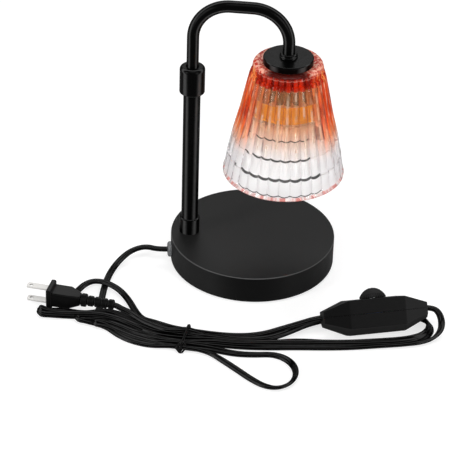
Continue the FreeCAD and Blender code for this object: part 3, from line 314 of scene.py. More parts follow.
def laid_cord(name, route):
    """One smooth length of the flat lead, resting on the table where its route gives no height."""
    line = bpy.data.curves.new(name, "CURVE")
    line.dimensions = "3D"
    line.twist_mode = "Z_UP"
    line.bevel_mode = "OBJECT"
    line.bevel_object = section_holder
    line.use_fill_caps = True
    line.resolution_u = 8
    spline = line.splines.new("NURBS")
    spline.points.add(len(route) - 1)
    for point, place in zip(spline.points, route):
        lean = math.radians(place[3]) if len(place) > 3 else 0.0
        resting = CORD_T / 2 + (CORD_W - CORD_T) / 2 * math.sin(lean)
        height = max(resting, place[2] / 1000 if len(place) > 2 else 0.0)
        point.co = (place[0] / 1000, place[1] / 1000, height, 1.0)
        point.tilt = lean
    spline.order_u = 3
    spline.use_endpoint_u = True
    cord = new_object(name, line, cord_skin)
    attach(cord, "foot")
    return cord


lamp_cord = laid_cord("lamp_cord", LAMP_CORD)
plug_cord = laid_cord("plug_cord", PLUG_CORD)
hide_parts("cord_base_lead", "cord_arc", "cord_switch_lead")
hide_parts("cord_plug_lead", "cord_inner_loop", "cord_outer_loop",
            "cord_small_loop", "cord_bundle")

# ---- foot --------------------------------------------------------------------------------
# Pressed steel cup, powder coated satin black, its upper edge rolled to a small radius. A disc
# of black foam under it keeps it from sliding.
FOOT_R = 0.070
FOOT_TOP = 0.0252
FOOT_WALL = 0.0015
FOOT_PLATE = 0.0018
PAD_R = 0.068
PAD_T = 0.0015


def profile(corners, closed=False):
    """Flat outline in the XZ plane; a third number rounds that corner by its radius."""
    shape = bmesh.new()
    rounds = {}
    for corner in corners:
        vert = shape.verts.new((corner[0], 0.0, corner[1]))
        if len(corner) > 2:
            rounds.setdefault(corner[2], []).append(vert)
    shape.verts.ensure_lookup_table()
    count = len(shape.verts)
    for k in range(count if closed else count - 1):
        shape.edges.new((shape.verts[k], shape.verts[(k + 1) % count]))
    for radius, verts in rounds.items():
        bmesh.ops.bevel(shape, geom=verts, offset=radius, affect="VERTICES", segments=5, profile=0.5,
                        material=-1)
    return shape


def turned(corners, steps=96, closed=False):
    """Solid turned about Z from an outline of radii and heights."""
    shape = profile(corners, closed)
    bmesh.ops.spin(shape, geom=shape.verts[:] + shape.edges[:], cent=(0, 0, 0), axis=(0, 0, 1),
                   angle=math.tau, steps=steps, use_merge=True)
    bmesh.ops.remove_doubles(shape, verts=shape.verts, dist=1e-6)
    bmesh.ops.dissolve_degenerate(shape, edges=shape.edges, dist=1e-7)
    return shape


def piece(name, shape, material, body, place=None, crease=32.0, flats=True):
    """Make a shape into an object: placed, faces outward, smooth between its creases."""
    if place is not None:
        bmesh.ops.transform(shape, matrix=place, verts=shape.verts)
    bmesh.ops.recalc_face_normals(shape, faces=shape.faces)
    data = bpy.data.meshes.new(name)
    shape.to_mesh(data)
    shape.free()
    data.polygons.foreach_set("use_smooth", [True] * len(data.polygons))
    data.set_sharp_from_angle(angle=math.radians(crease))
    made = new_object(name, data, material)
    if flats:
        made.modifiers.new("flats", "WEIGHTED_NORMAL").keep_sharp = True
    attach(made, body)
    return made


powder_coat = finish("black_powder_coat", (0.009, 0.009, 0.009), 0.42, Specular_IOR_Level=0.10)
speck = grain(powder_coat, 900.0, 4.0)
coat_height = position(powder_coat)
coat_height = coat_height.node("SeparateXYZ", {0: coat_height}, out="Z")
# Painted highlight: a light line round the foot's rolled top edge, and a painted sheen where the coat
# turns from the eye, such as down the foot's sides.
painted_edge_highlight = coat_height.ramp(FOOT_TOP - 0.0011, FOOT_TOP - 0.0008)
painted_edge_highlight = painted_edge_highlight * coat_height.ramp(FOOT_TOP, FOOT_TOP - 0.0004)
painted_coat_sheen = (slant(powder_coat).ramp(0.16, 0.30) * 0.14 + painted_edge_highlight) * (speck * 0.5 + 0.7)
painted_coat_sheen.tint((0.003, 0.003, 0.003), (0.075, 0.075, 0.075)).drives("Base Color")
(speck * 0.16 + 0.36).drives("Roughness")
relief(grain(powder_coat, 1500.0, 3.0), 0.00006, 0.45)

foot_shell = piece("foot_shell", turned((
    (0.0, FOOT_TOP), (FOOT_R, FOOT_TOP, 0.0012), (FOOT_R, PAD_T, 0.0004),
    (FOOT_R - FOOT_WALL, PAD_T), (FOOT_R - FOOT_WALL, FOOT_TOP - FOOT_PLATE),
    (0.0, FOOT_TOP - FOOT_PLATE)), 192), powder_coat, "foot")
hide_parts("base_shell")

foam = finish("black_foam", (0.020, 0.020, 0.021), 0.92)
cells = Field(foam).node("TexVoronoi", {"Vector": position(foam), "Scale": 1300.0})
cells.tint((0.006, 0.006, 0.006), (0.030, 0.030, 0.031)).drives("Base Color")
relief(cells, 0.0003, 0.8)
foam_pad = piece("foam_pad", turned((
    (0.0, 0.0), (PAD_R, 0.0, 0.0004), (PAD_R, PAD_T, 0.0003), (0.0, PAD_T)), 128), foam, "foot")
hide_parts("foot_pad")

# ---- cord bushing ------------------------------------------------------------------------
# Clear grey plastic bushing pushed into the foot's side, its flange outside and a hole for
# the cord.
BUSHING_TURN = math.radians(6.56)
BUSHING_Z = 0.0105
BUSHING_BORE = 0.0029
bushing_place = (Matrix.Rotation(BUSHING_TURN, 4, "Z") @ Matrix.Translation((-FOOT_R, 0, BUSHING_Z))
                 @ Matrix.Rotation(math.radians(-90), 4, "Y"))
clear_plastic = mottled("clear_grey_plastic", (0.42, 0.43, 0.44), 0.22, 500.0, (0.22, 0.23, 0.24),
                        (0.40, 0.41, 0.42), Transmission_Weight=0.55, IOR=1.49)
bushing = piece("cord_bushing", turned((
    (BUSHING_BORE, 0.0032, 0.0004), (0.0052, 0.0030, 0.0003), (0.0066, 0.0022, 0.0008),
    (0.0066, -0.0006), (0.0049, -0.0008), (0.0049, -0.0040), (BUSHING_BORE, -0.0040)), 64,
    closed=True), clear_plastic, "foot", bushing_place)
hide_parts("cable_gland")

# ---- pole --------------------------------------------------------------------------------
# Steel tube screwed into the foot through a turned ferrule, and a twist-lock collar with a
# round shoulder at its top, all coated satin black like the foot.
POLE_X = -0.0543
POLE_R = 0.0071
POLE_BORE = 0.0061
POLE_FOOT = 0.0168
POLE_TOP = 0.176
FERRULE_BORE = 0.00715
pole_place = Matrix.Translation((POLE_X, 0, 0))
satin_coat = finish("satin_black_coat", (0.001, 0.001, 0.001), 0.28, Specular_IOR_Level=0.04)
satin_grain = grain(satin_coat, 420.0, 3.0)
satin_slant = slant(satin_coat)
# Painted highlight: a light band down each side of the tubes and the collar, where the surface turns from
# the eye.
painted_satin_highlight = satin_slant.ramp(0.17, 0.28) * satin_slant.ramp(0.44, 0.30) * (satin_grain * 0.3 + 0.8)
painted_satin_highlight.tint((0.0012, 0.0012, 0.0012), (0.058, 0.058, 0.058)).drives("Base Color")
(satin_grain * 0.14 + 0.22).drives("Roughness")
relief(grain(satin_coat, 1100.0), 0.00003, 0.20)

pole = piece("pole", turned((
    (POLE_BORE, POLE_FOOT), (POLE_R, POLE_FOOT, 0.0003), (POLE_R, POLE_TOP, 0.0003),
    (POLE_BORE, POLE_TOP)), 96, closed=True), satin_coat, "foot", pole_place)
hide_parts("lower_tube")
ferrule = piece("ferrule", turned((
    (FERRULE_BORE, FOOT_TOP), (0.0085, FOOT_TOP, 0.0004), (0.0085, 0.0402, 0.0009),
    (FERRULE_BORE, 0.0402)), 96, closed=True), satin_coat, "foot", pole_place)
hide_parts("pole_ferrule")
collar = piece("lock_collar_shell", turned((
    (FERRULE_BORE, 0.1615), (0.0105, 0.1615, 0.0009), (0.0105, 0.1855, 0.0030),
    (0.0053, 0.1855, 0.0004), (0.0053, 0.1832), (FERRULE_BORE, 0.1780)), 96, closed=True), satin_coat,
    "collar", pole_place)
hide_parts("lock_collar")

# ---- arm ---------------------------------------------------------------------------------
# One steel tube bent twice over a round former. It slides and swings in the pole, and its far
# end goes down through the cap into the lamp holder.
ARM_R = 0.005
ARM_TURN = math.radians(-5)
ARM_FOOT = 0.052
ARM_END = 0.189
ARCH_R = 0.030
ARCH_RUN = 0.018
SPRINGING = 0.212
arm_place = pole_place @ Matrix.Rotation(ARM_TURN, 4, "Z")
tube = bmesh.new()
bmesh.ops.create_circle(tube, segments=48, radius=ARM_R, matrix=Matrix.Translation((0, 0, ARM_FOOT)))


def pull(shape, end, move):
    """Extrude the open ring at the end of a tube along a straight run."""
    grown = bmesh.ops.extrude_edge_only(shape, edges=end)["geom"]
    bmesh.ops.translate(shape, vec=move, verts=[g for g in grown if isinstance(g, bmesh.types.BMVert)])
    return [g for g in grown if isinstance(g, bmesh.types.BMEdge)]


def bend(shape, end, centre):
    """Turn the open ring by a right angle about a level axis."""
    grown = bmesh.ops.spin(shape, geom=list({v for e in end for v in e.verts}) + end, cent=centre,
                           axis=(0, 1, 0), angle=math.pi / 2, steps=20)["geom_last"]
    return [g for g in grown if isinstance(g, bmesh.types.BMEdge)]


tube_end = pull(tube, tube.edges[:], (0, 0, SPRINGING - ARM_FOOT))
tube_end = bend(tube, tube_end, (ARCH_R, 0, SPRINGING))
tube_end = pull(tube, tube_end, (ARCH_RUN, 0, 0))
tube_end = bend(tube, tube_end, (ARCH_R + ARCH_RUN, 0, SPRINGING))
pull(tube, tube_end, (0, 0, ARM_END - SPRINGING))
bmesh.ops.remove_doubles(tube, verts=tube.verts, dist=1e-7)
bmesh.ops.holes_fill(tube, edges=tube.edges, sides=0)
arm = piece("arched_arm", tube, satin_coat, "arm", arm_place)
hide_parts("upper_tube")

# ---- cap and lamp holder -----------------------------------------------------------------
# Steel disc over the glass's hole, locked by a turned ring on the tube. Under it the lamp
# holder is a plain black cup.
CAP_R = 0.0206
CAP_UNDER = 0.1955
CAP_TOP = 0.2010
RING_BORE = 0.00505
head_place = arm_place @ Matrix.Translation((2 * ARCH_R + ARCH_RUN, 0, 0))
cap = piece("cap_disc", turned((
    (0.0, CAP_UNDER), (CAP_R, CAP_UNDER, 0.0004), (CAP_R, CAP_TOP, 0.0009), (0.0, CAP_TOP)), 128),
    satin_coat, "arm", head_place)
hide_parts("shade_cap")
lock_ring = piece("cap_lock_ring", turned((
    (RING_BORE, CAP_TOP), (0.0075, CAP_TOP), (0.0075, 0.2022, 0.0003), (0.0070, 0.2024),
    (0.0070, 0.2045, 0.0009), (RING_BORE, 0.2045, 0.0003)), 64, closed=True), satin_coat, "arm",
    head_place)
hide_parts("tube_ring")
holder = piece("holder_shell", turned((
    (0.0140, 0.1630), (0.0152, 0.1630, 0.0005), (0.0152, CAP_UNDER), (RING_BORE, CAP_UNDER),
    (RING_BORE, 0.1943), (0.0140, 0.1943)), 96, closed=True), powder_coat, "arm",
    head_place)
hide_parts("holder_cup")

# ---- glass shade -------------------------------------------------------------------------
# Pressed glass, clear at the rim and stained amber, then red, towards the top: thirty-two flutes
# outside, six stepped rings inside, a faceted band and a rolled lip round the cap.
FLUTES = 32
FLUTE_DEPTH = 0.0016
FLUTE_SHARPNESS = 1.6
FLUTE_RUN_IN = 0.003
FLUTED_FROM_R = 0.0265
FLUTED_WALL = 0.0022
STEPS_PER_FLUTE = 8
SHADE_AXIS = (0.02340, -0.00680)
RIM_Z = 0.0930
FLUTES_Z = 0.0945
BAND_Z = 0.1846
LIP_Z = 0.1935
LIP_FLUTE = 0.12
INSIDE_R = 0.0464
INSIDE_SLOPE = 0.2136
CONE_RISE = 0.0095
TIERS = (0.0930, 0.1094, 0.1258, 0.1423, 0.1587, 0.1751, 0.1915)
LEDGES = {0.1094: 0.0012, 0.1258: 0.0007, 0.1423: 0.0004, 0.1587: 0.0003, 0.1751: 0.0003}


def inside_radius(height):
    """Radius of the inner wall's plain cone, which its rings step along."""
    return INSIDE_R - INSIDE_SLOPE * (height - RIM_Z)


outside = ((0.0478, 0.0930), (0.0497, 0.0931), (0.0505, 0.0938), (0.0506, 0.0948), (0.0501, 0.0962),
           (0.0497, 0.0975), (0.0474, 0.1120), (0.0434, 0.1314), (0.0386, 0.1505), (0.0347, 0.1693),
           (0.0317, 0.1833), (0.0303, 0.1876), (0.0288, 0.1884), (0.0293, 0.1892), (0.0291, 0.1926),
           (0.0284, 0.1948), (0.0272, 0.1962), (0.0257, 0.1968), (0.0238, 0.1966), (0.0216, 0.1955),
           (0.0160, 0.1955))
inside = [(0.0160, 0.1915)]
for low, high in zip(TIERS[-2::-1], TIERS[:0:-1]):
    inside += [(inside_radius(high) + LEDGES.get(high, 0.0), high - 0.0001),
               (inside_radius(low), low + 0.0002)]
inside[-1] = (0.0466, 0.0936)
glass_form = turned(outside + tuple(inside), FLUTES * STEPS_PER_FLUTE, closed=True)
for vert in glass_form.verts:
    spread = math.hypot(vert.co.x, vert.co.y)
    above = vert.co.z - FLUTES_Z
    if above > 0 and spread > max(inside_radius(vert.co.z) + FLUTED_WALL, FLUTED_FROM_R):
        ridge = abs(math.sin(math.atan2(vert.co.y, vert.co.x) * FLUTES / 2))
        depth = FLUTE_DEPTH * (LIP_FLUTE if vert.co.z > LIP_Z else min(1.0, 0.55 + 10 * above))
        depth *= min(1.0, above / FLUTE_RUN_IN) * (1.0 - ridge) ** FLUTE_SHARPNESS
        vert.co.x *= 1.0 - depth / spread
        vert.co.y *= 1.0 - depth / spread

# Where a point of the glass lies: its distance from the shade's axis and its turn about it, how
# far its side of the cone turns away, whether it is on the inner wall, and how far it is up from
# the bottom of a flute to the ridge.
glass = finish("stained_glass", (1.0, 1.0, 1.0), 0.02, Transmission_Weight=1.0, IOR=1.3)
spot = position(glass)
across, along, height = [spot.node("SeparateXYZ", {0: spot}, out=axis) for axis in "XYZ"]
outward = spot.node("CombineXYZ", {0: across - SHADE_AXIS[0], 1: along - SHADE_AXIS[1], 2: 0.0})
from_axis = outward.node("VectorMath", {0: outward}, out="Value", operation="LENGTH")
turn = across.maths("ARCTAN2", along - SHADE_AXIS[1], across - SHADE_AXIS[0])
cone = outward.node("VectorMath", {0: outward, 1: (0.0, 0.0, CONE_RISE)}, operation="ADD")
cone = cone.node("VectorTransform", {0: cone}, vector_type="NORMAL", convert_from="OBJECT",
                 convert_to="WORLD")
aside = cone.node("LayerWeight", {"Blend": 0.5, "Normal": cone}, out="Facing")
inner = (from_axis - (INSIDE_R + INSIDE_SLOPE * RIM_Z) + height * INSIDE_SLOPE).ramp(0.0028, 0.0024)
flute = (turn - ARM_TURN) * (FLUTES / 2)
flute = flute.maths("ABSOLUTE", flute.maths("SINE", flute))
wander = grain(glass, 75.0)
speckle = grain(glass, 380.0)
drawn = turn.node("CombineXYZ", {0: turn * 11.0, 1: height * 34.0, 2: 0.0})
streak = drawn.node("TexNoise", {"Vector": drawn, "Scale": 1.0, "Detail": 3.0})

# The stain in the clear glass: amber and then red towards the top, deeper at the sides, and
# deepest in the faceted band.
amber = height.ramp(0.126, 0.168)
flame = height.ramp(0.118, 0.144)
ember = height.ramp(0.134, 0.158)
band = (height + flute * 0.0005).ramp(BAND_Z, BAND_Z + 0.0010)
lip = height.ramp(LIP_Z, LIP_Z + 0.0020)
front_stain = amber.tint((0.99, 0.985, 0.985), (0.99, 0.62, 0.36))
side_stain = ember.tint(flame.tint((0.93, 0.91, 0.91), (0.98, 0.46, 0.14)), (0.97, 0.20, 0.03))
stain = aside.ramp(0.20, 0.60).tint(front_stain, side_stain)
stain = band.tint(stain, (0.94, 0.13, 0.02))
stain = (height.ramp(LIP_Z, LIP_Z + 0.0025) * 0.6).tint(stain, (0.97, 0.26, 0.14))
stain = (height.ramp(0.0951, 0.0941) * 0.5).tint(stain, (0.94, 0.40, 0.32))
stain.drives("Base Color")

# Painted shade in the glass: dark lines that stand for the shadows and dark things seen refracted
# through it, wavy ones above the rim and above the three lower ledges of the inner wall, three
# upright dashes beside the bulb, and broken ones down the flutes at the sides.
painted_ledge_shadows = []
for rise, wide, limit, last in ((0.0972, 0.0006, 0.25, -50), (0.1110, 0.0012, 0.27, -50),
                                (0.1274, 0.0009, 0.24, -61), (0.1437, 0.0006, 0.19, -63)):
    away = height - rise + flute * 0.0013 + wander * 0.0012
    line = away.maths("ABSOLUTE", away).ramp(wide, wide * 0.6) * aside.ramp(limit, limit - 0.05)
    painted_ledge_shadows.append(line * turn.ramp(math.radians(last + 3), math.radians(last)))
painted_ledge_shadow = most(*painted_ledge_shadows) * inner
# Painted shade: three dark upright dashes beside the bulb.
painted_shade_dashes = []
for place, level in ((-48, 0.95), (-43, 0.6), (-119, 0.5)):
    away = turn - math.radians(place)
    painted_shade_dash = away.maths("ABSOLUTE", away).ramp(0.050, 0.030) * wander.ramp(0.47, 0.53) * level
    painted_shade_dashes.append(painted_shade_dash * height.ramp(0.128, 0.132) * height.ramp(0.178, 0.172) * inner)
# Painted shade: broken dark lines down the flute valleys at the sides.
painted_flute_shadow = flute.ramp(0.36, 0.16) * aside.ramp(0.22, 0.36) * wander.ramp(0.42, 0.52) * (1.0 - inner)
painted_flute_shadow = painted_flute_shadow * (1.0 - lip) * (flame * 0.48 + 0.42)

# The milk is the clouded part of the glass: pale below, amber and red above, a dark red band and a
# speckled lip. Painted on it are highlights along the flutes' ridges and shade in their valleys,
# light and dark streaks at the sides, the gold of the lit bulb base as seen through the glass, a
# highlight line at the lip's step, and shade on the lip's front under the cap.
# Painted shade: the flutes' valleys darker.
painted_valley_shade = flute.ramp(0.34, 0.06) * (wander.ramp(0.30, 0.60) * 0.7 + 0.3) * (1.0 - lip)
# Painted highlight: light lines along the flutes' ridges.
painted_crest_highlight = flute.ramp(0.78, 0.95) * wander.ramp(0.36, 0.60) * height.ramp(0.118, 0.140)
painted_crest_highlight = painted_crest_highlight * (1.0 - inner) * (1.0 - band) * (1.0 - lip)
# Painted see-through image: the gold of the lit bulb base as it would show through the glass.
painted_bulb_base_image = height.ramp(0.1560, 0.1568) * height.ramp(0.1708, 0.1700) * aside.ramp(0.26, 0.17) * inner
milk_front = amber.tint((0.80, 0.80, 0.80), (0.90, 0.52, 0.27))
milk_side = ember.tint(flame.tint((0.86, 0.85, 0.87), (0.95, 0.24, 0.05)), (0.84, 0.080, 0.006))
milk = aside.ramp(0.16, 0.50).tint(milk_front, milk_side)
milk = band.tint(milk, streak.ramp(0.35, 0.65).tint((0.20, 0.005, 0.002), (0.74, 0.028, 0.004)))
milk = painted_bulb_base_image.tint(milk, (0.72, 0.36, 0.02))
painted_valley_shade_colour = band.tint(amber.tint((0.80, 0.77, 0.79), (0.66, 0.07, 0.01)), (0.28, 0.012, 0.004))
milk = (painted_valley_shade * 0.85).tint(milk, painted_valley_shade_colour)
milk = painted_crest_highlight.tint(milk, aside.ramp(0.20, 0.44).tint((1.0, 0.74, 0.56), (0.98, 0.50, 0.32)))
# Painted streaks at the sides: dark ones as painted shade on the pale glass below, light and dark ones as
# painted highlights and shade on the red glass above.
painted_pale_side_shade = aside.ramp(0.24, 0.48) * (1.0 - flame)
painted_red_side_streaks = aside.ramp(0.22, 0.44) * flame
milk = (painted_pale_side_shade * streak.ramp(0.42, 0.30) * 0.40).tint(milk, (0.42, 0.26, 0.24))
milk = (painted_red_side_streaks * streak.ramp(0.54, 0.64) * 0.85).tint(milk, (0.96, 0.34, 0.09))
milk = (painted_red_side_streaks * streak.ramp(0.47, 0.39) * 0.85).tint(milk, (0.30, 0.016, 0.003))
milk = painted_flute_shadow.tint(milk, (0.09, 0.008, 0.005))
# The lip: speckled red with light flecks, partly painted glints, and painted shade, nearly black, on its
# front under the cap.
lip_stain_and_glints = speckle.ramp(0.38, 0.62).tint((0.55, 0.024, 0.008), (0.95, 0.46, 0.34))
milk = lip.tint(milk, aside.ramp(0.12, 0.32).tint((0.07, 0.006, 0.004), lip_stain_and_glints))
# Painted highlight: a thin light line at the lip's step.
painted_lip_highlight = height.ramp(0.1926, 0.1930) * height.ramp(0.1938, 0.1934) * 0.5
milk = painted_lip_highlight.tint(milk, (0.90, 0.34, 0.26))
rim_stain = streak.ramp(0.42, 0.60).tint((0.70, 0.09, 0.05), (0.92, 0.84, 0.82))
milk = (height.ramp(0.0952, 0.0941) * 0.8).tint(milk, rim_stain)
for painted_shade_dash in painted_shade_dashes:
    milk = painted_shade_dash.tint(milk, (0.035, 0.008, 0.004))
milk = painted_ledge_shadow.tint(milk, (0.010, 0.008, 0.008))
clouded = milk.node("BsdfPrincipled", {"Base Color": milk, "Roughness": 0.3, "Specular IOR Level": 0.1},
                    out="BSDF")

# How much of the glass is clouded: more on the inner wall than outside, and nearly all of it along
# the painted shadow lines and dashes.
lower_part = height.ramp(0.158, 0.120)
whiteness = lower_part * (aside.ramp(0.72, 0.30) * 0.5 + 0.4)
redness = (1.0 - lower_part) * (aside.ramp(0.12, 0.42) * 0.76 + 0.20 + band * 0.60)
veil = height.ramp(0.118, 0.130) * height.ramp(0.157, 0.150) * 0.30 * inner
share = whiteness * (inner * 0.9 + 0.1) + redness * (inner * 0.8 + 0.2) + painted_bulb_base_image * 0.6 + veil
share = share + (painted_valley_shade * (amber * 0.28 + 0.14) + painted_crest_highlight * 0.26) * (1.0 - inner)
share = share + (lip * 0.30 + band * 0.40 + aside.ramp(0.22, 0.50) * flame * 0.26) * (1.0 - inner)
share = most(share, painted_ledge_shadow, painted_flute_shadow, *painted_shade_dashes)
clear = Field(glass, glass.node_tree.nodes["Principled BSDF"].outputs["BSDF"])
blend = clear.node("MixShader", {0: share, 1: clear, 2: clouded})
glass.node_tree.links.new(blend.socket, glass.node_tree.nodes["Material Output"].inputs["Surface"])
shade = piece("glass_shade_fluted", glass_form, glass, "arm", head_place, crease=28.0,
              flats=False)
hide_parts("glass_shade")

# ---- bulb --------------------------------------------------------------------------------
# Halogen reflector bulb: silvered glass bell with pressed facets, a clear front glass, a
# small capsule and a white ceramic base with two pins that twist into the socket.
silver = finish("silvered_reflector", (0.86, 0.86, 0.86), 0.34, Metallic=1.0)
facets = Field(silver).node("TexVoronoi", {"Vector": position(silver), "Scale": 420.0})
(facets * 0.14 + 0.30).drives("Roughness")
relief(facets, 0.0004, 0.5)
reflector = piece("bulb_bell", turned((
    (0.0242, 0.1212), (0.0250, 0.1212, 0.0004), (0.0250, 0.1240), (0.0246, 0.1268),
    (0.0236, 0.1300), (0.0216, 0.1344), (0.0186, 0.1390), (0.0146, 0.1432), (0.0100, 0.1462),
    (0.0080, 0.1474), (0.0069, 0.1474), (0.0092, 0.1454), (0.0138, 0.1424), (0.0178, 0.1382),
    (0.0206, 0.1338), (0.0226, 0.1296), (0.0236, 0.1266), (0.0242, 0.1240)), 72, closed=True),
    silver, "bulb", head_place)
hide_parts("bulb_reflector")
front_glass = finish("clear_front_glass", (0.98, 0.98, 0.98), 0.03, Transmission_Weight=1.0,
                     IOR=1.47)
relief(grain(front_glass, 260.0), 0.00005, 0.2)
bulb_front = piece("bulb_cover_glass", turned((
    (0.0, 0.1213), (0.02415, 0.1213, 0.0004), (0.02415, 0.1233, 0.0004), (0.0, 0.1233)), 96),
    front_glass, "bulb", head_place)
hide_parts("bulb_front")
capsule = piece("bulb_halogen_capsule", turned((
    (0.0, 0.1303), (0.0012, 0.1304), (0.0024, 0.1311), (0.0032, 0.1323), (0.0034, 0.1337),
    (0.0034, 0.1532), (0.0, 0.1532)), 48), front_glass, "bulb", head_place)
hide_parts("bulb_capsule")
ceramic = mottled("white_ceramic", (0.80, 0.79, 0.76), 0.38, 320.0, (0.72, 0.71, 0.68),
                  (0.84, 0.83, 0.80), 4.0)
relief(grain(ceramic, 320.0, 4.0), 0.00008, 0.3)


def block(shape, size, middle):
    """Add a block of a size about its middle, and give its corners."""
    place = Matrix.Translation(middle) @ Matrix.Diagonal((*size, 1.0))
    return bmesh.ops.create_cube(shape, size=1.0, matrix=place)["verts"]


def soften(shape, edges, radius, segments=4):
    """Round some edges of a shape."""
    bmesh.ops.bevel(shape, geom=edges, offset=radius, affect="EDGES", segments=segments, profile=0.5,
                    material=-1)


def run_of(edge, axis):
    """How far an edge runs along an axis: 0 for X, 1 for Y, 2 for Z."""
    return abs(edge.verts[0].co[axis] - edge.verts[1].co[axis])


bulb_block = bmesh.new()
block(bulb_block, (0.0240, 0.0150, 0.0203), (0, 0, 0.15785))
soften(bulb_block, [e for e in bulb_block.edges if run_of(e, 2) > 0.01], 0.0042, 6)
soften(bulb_block, [e for e in bulb_block.edges if run_of(e, 2) < 0.001], 0.0006, 2)
bulb_base = piece("bulb_ceramic_base", bulb_block, ceramic, "bulb", head_place)
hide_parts("bulb_base")

# ---- dimmer ------------------------------------------------------------------------------
# In-line dimmer in two matt black ABS shells that meet in a fine groove, with tapered ends and a
# ribbed dial. It lies on the chamfer of its lower shell. A section is its half width, its height
# above and below the groove, and the width and height of the chamfers.
SWITCH_TIP_X = 0.044
SWITCH_FULL_X = 0.0235
SWITCH_SECTION = (0.0140, 0.01165, 0.01705, 0.00778, 0.00545)
SWITCH_TIP = (0.0065, 0.0045, 0.0082, 0.0035, 0.0034)
SHELL_T = 0.0018
PARTING = 0.00012
switch_place = (Matrix.Translation((0.1008, -0.1015, 0.0175)) @ Matrix.Rotation(math.radians(12.8), 4, "Z")
                @ Matrix.Rotation(math.radians(-35), 4, "X"))


def switch_ring(shape, x, half, up, down, reach, drop):
    """Ring of six corners across the housing: flat above, chamfered below."""
    corners = [(-half, up), (half, up), (half, drop - down), (half - reach, -down),
               (reach - half, -down), (-half, drop - down)]
    verts = [shape.verts.new((x, y, z)) for y, z in corners]
    return [shape.edges.new((verts[k], verts[(k + 1) % 6])) for k in range(6)]


def switch_shell(side):
    """One of the two shells: the housing beveled, cut at the parting and made hollow."""
    shape = bmesh.new()
    stations = ((-SWITCH_TIP_X, SWITCH_TIP), (-SWITCH_FULL_X, SWITCH_SECTION),
                (SWITCH_FULL_X, SWITCH_SECTION), (SWITCH_TIP_X, SWITCH_TIP))
    rings = [switch_ring(shape, x, *sizes) for x, sizes in stations]
    for one, other in zip(rings, rings[1:]):
        bmesh.ops.bridge_loops(shape, edges=one + other)
    bmesh.ops.holes_fill(shape, edges=shape.edges, sides=0)
    bmesh.ops.recalc_face_normals(shape, faces=shape.faces)
    soften(shape, shape.edges[:], 0.0006, 2)
    bmesh.ops.recalc_face_normals(shape, faces=shape.faces)
    bmesh.ops.bisect_plane(shape, geom=shape.verts[:] + shape.edges[:] + shape.faces[:],
                           plane_co=(0, 0, side * PARTING), plane_no=(0, 0, -side), clear_outer=True)
    bmesh.ops.solidify(shape, geom=shape.faces[:], thickness=SHELL_T)
    return shape


abs_plastic = finish("matt_black_abs", (0.007, 0.007, 0.007), 0.42, Specular_IOR_Level=0.04)
leather = grain(abs_plastic, 1700.0, 3.0)
# Painted sheen: the dimmer's shells are lighter where their faces turn from the eye.
painted_shell_sheen = slant(abs_plastic).ramp(0.05, 0.24) * (leather * 0.5 + 0.7)
painted_shell_sheen.tint((0.005, 0.005, 0.005), (0.022, 0.022, 0.022)).drives("Base Color")
(leather * 0.16 + 0.34).drives("Roughness")
relief(leather, 0.00007, 0.55)
for side, name, node in ((1, "dimmer_upper_shell", "switch_cover"),
                         (-1, "dimmer_lower_shell", "switch_base")):
    half_shell = piece(name, switch_shell(side), abs_plastic, "foot", switch_place,
                       crease=12.0)
    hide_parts(node)

DIAL_R = 0.0109
DIAL_SEAT = 0.01195
DIAL_RIBS = 36
RIB_DEPTH = 0.0005
RIBS_FROM_R = 0.0094
dial_form = turned((
    (0.0, DIAL_SEAT), (DIAL_R, DIAL_SEAT, 0.0003), (DIAL_R, 0.0131, 0.0005), (0.0099, 0.0148, 0.0010),
    (0.0082, 0.0169, 0.0010), (0.0060, 0.0187, 0.0010), (0.0032, 0.0200, 0.0010), (0.0, 0.0204)),
    DIAL_RIBS * 4)
for vert in dial_form.verts:
    spread = math.hypot(vert.co.x, vert.co.y)
    if spread > RIBS_FROM_R:
        groove = RIB_DEPTH / 2 * (1 + math.cos(DIAL_RIBS * math.atan2(vert.co.y, vert.co.x)))
        vert.co.x *= 1 - groove / spread
        vert.co.y *= 1 - groove / spread
dial = piece("dial_knob", dial_form, abs_plastic, "dial", switch_place, crease=40.0)
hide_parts("dimmer_dial")

# ---- plug --------------------------------------------------------------------------------
# Moulded two-blade plug: a flange, a body with soft edges that tapers to a ribbed sleeve,
# black PVC, and two nickel-plated blades with a hole near each tip.
plug_place = Matrix.Translation((-0.1675, -0.0825, 0.0112)) @ Matrix.Rotation(math.radians(-12), 4, "Z")
plug_pvc = finish("black_plug_pvc", (0.004, 0.004, 0.004), 0.32, Specular_IOR_Level=0.09)
mould = grain(plug_pvc, 1200.0, 3.0)
# Painted sheen: the plug's moulding is lighter where its faces turn from the eye.
painted_plug_sheen = slant(plug_pvc).ramp(0.14, 0.44) * (mould * 0.5 + 0.7)
painted_plug_sheen.tint((0.0015, 0.0015, 0.0015), (0.013, 0.013, 0.013)).drives("Base Color")
(mould * 0.16 + 0.28).drives("Roughness")
relief(mould, 0.00005, 0.5)

BODY_L = 0.0150
BODY_W = 0.0164
BODY_H = 0.0132
TAPER_L = 0.0090
TAPER_END = 0.0088
FLANGE_T = 0.0043
body_form = bmesh.new()
block(body_form, (BODY_L, BODY_W, BODY_H), (0.0108, 0, 0))
rear = [f for f in body_form.faces if f.normal.x > 0.9]
taper = bmesh.ops.extrude_discrete_faces(body_form, faces=rear)["faces"]
taper_verts = list({v for f in taper for v in f.verts})
bmesh.ops.translate(body_form, vec=(TAPER_L, 0, 0), verts=taper_verts)
bmesh.ops.scale(body_form, vec=(1.0, TAPER_END / BODY_W, TAPER_END / BODY_H), verts=taper_verts)
soften(body_form, [e for e in body_form.edges if run_of(e, 0) > 0.001], 0.0018)
flange = block(body_form, (FLANGE_T, 0.0184, 0.0192), (FLANGE_T / 2, 0, 0))
soften(body_form, list({e for v in flange for e in v.link_edges}), 0.0012)
plug = piece("plug_moulding", body_form, plug_pvc, "foot", plug_place, crease=38.0)
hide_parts("plug_body")

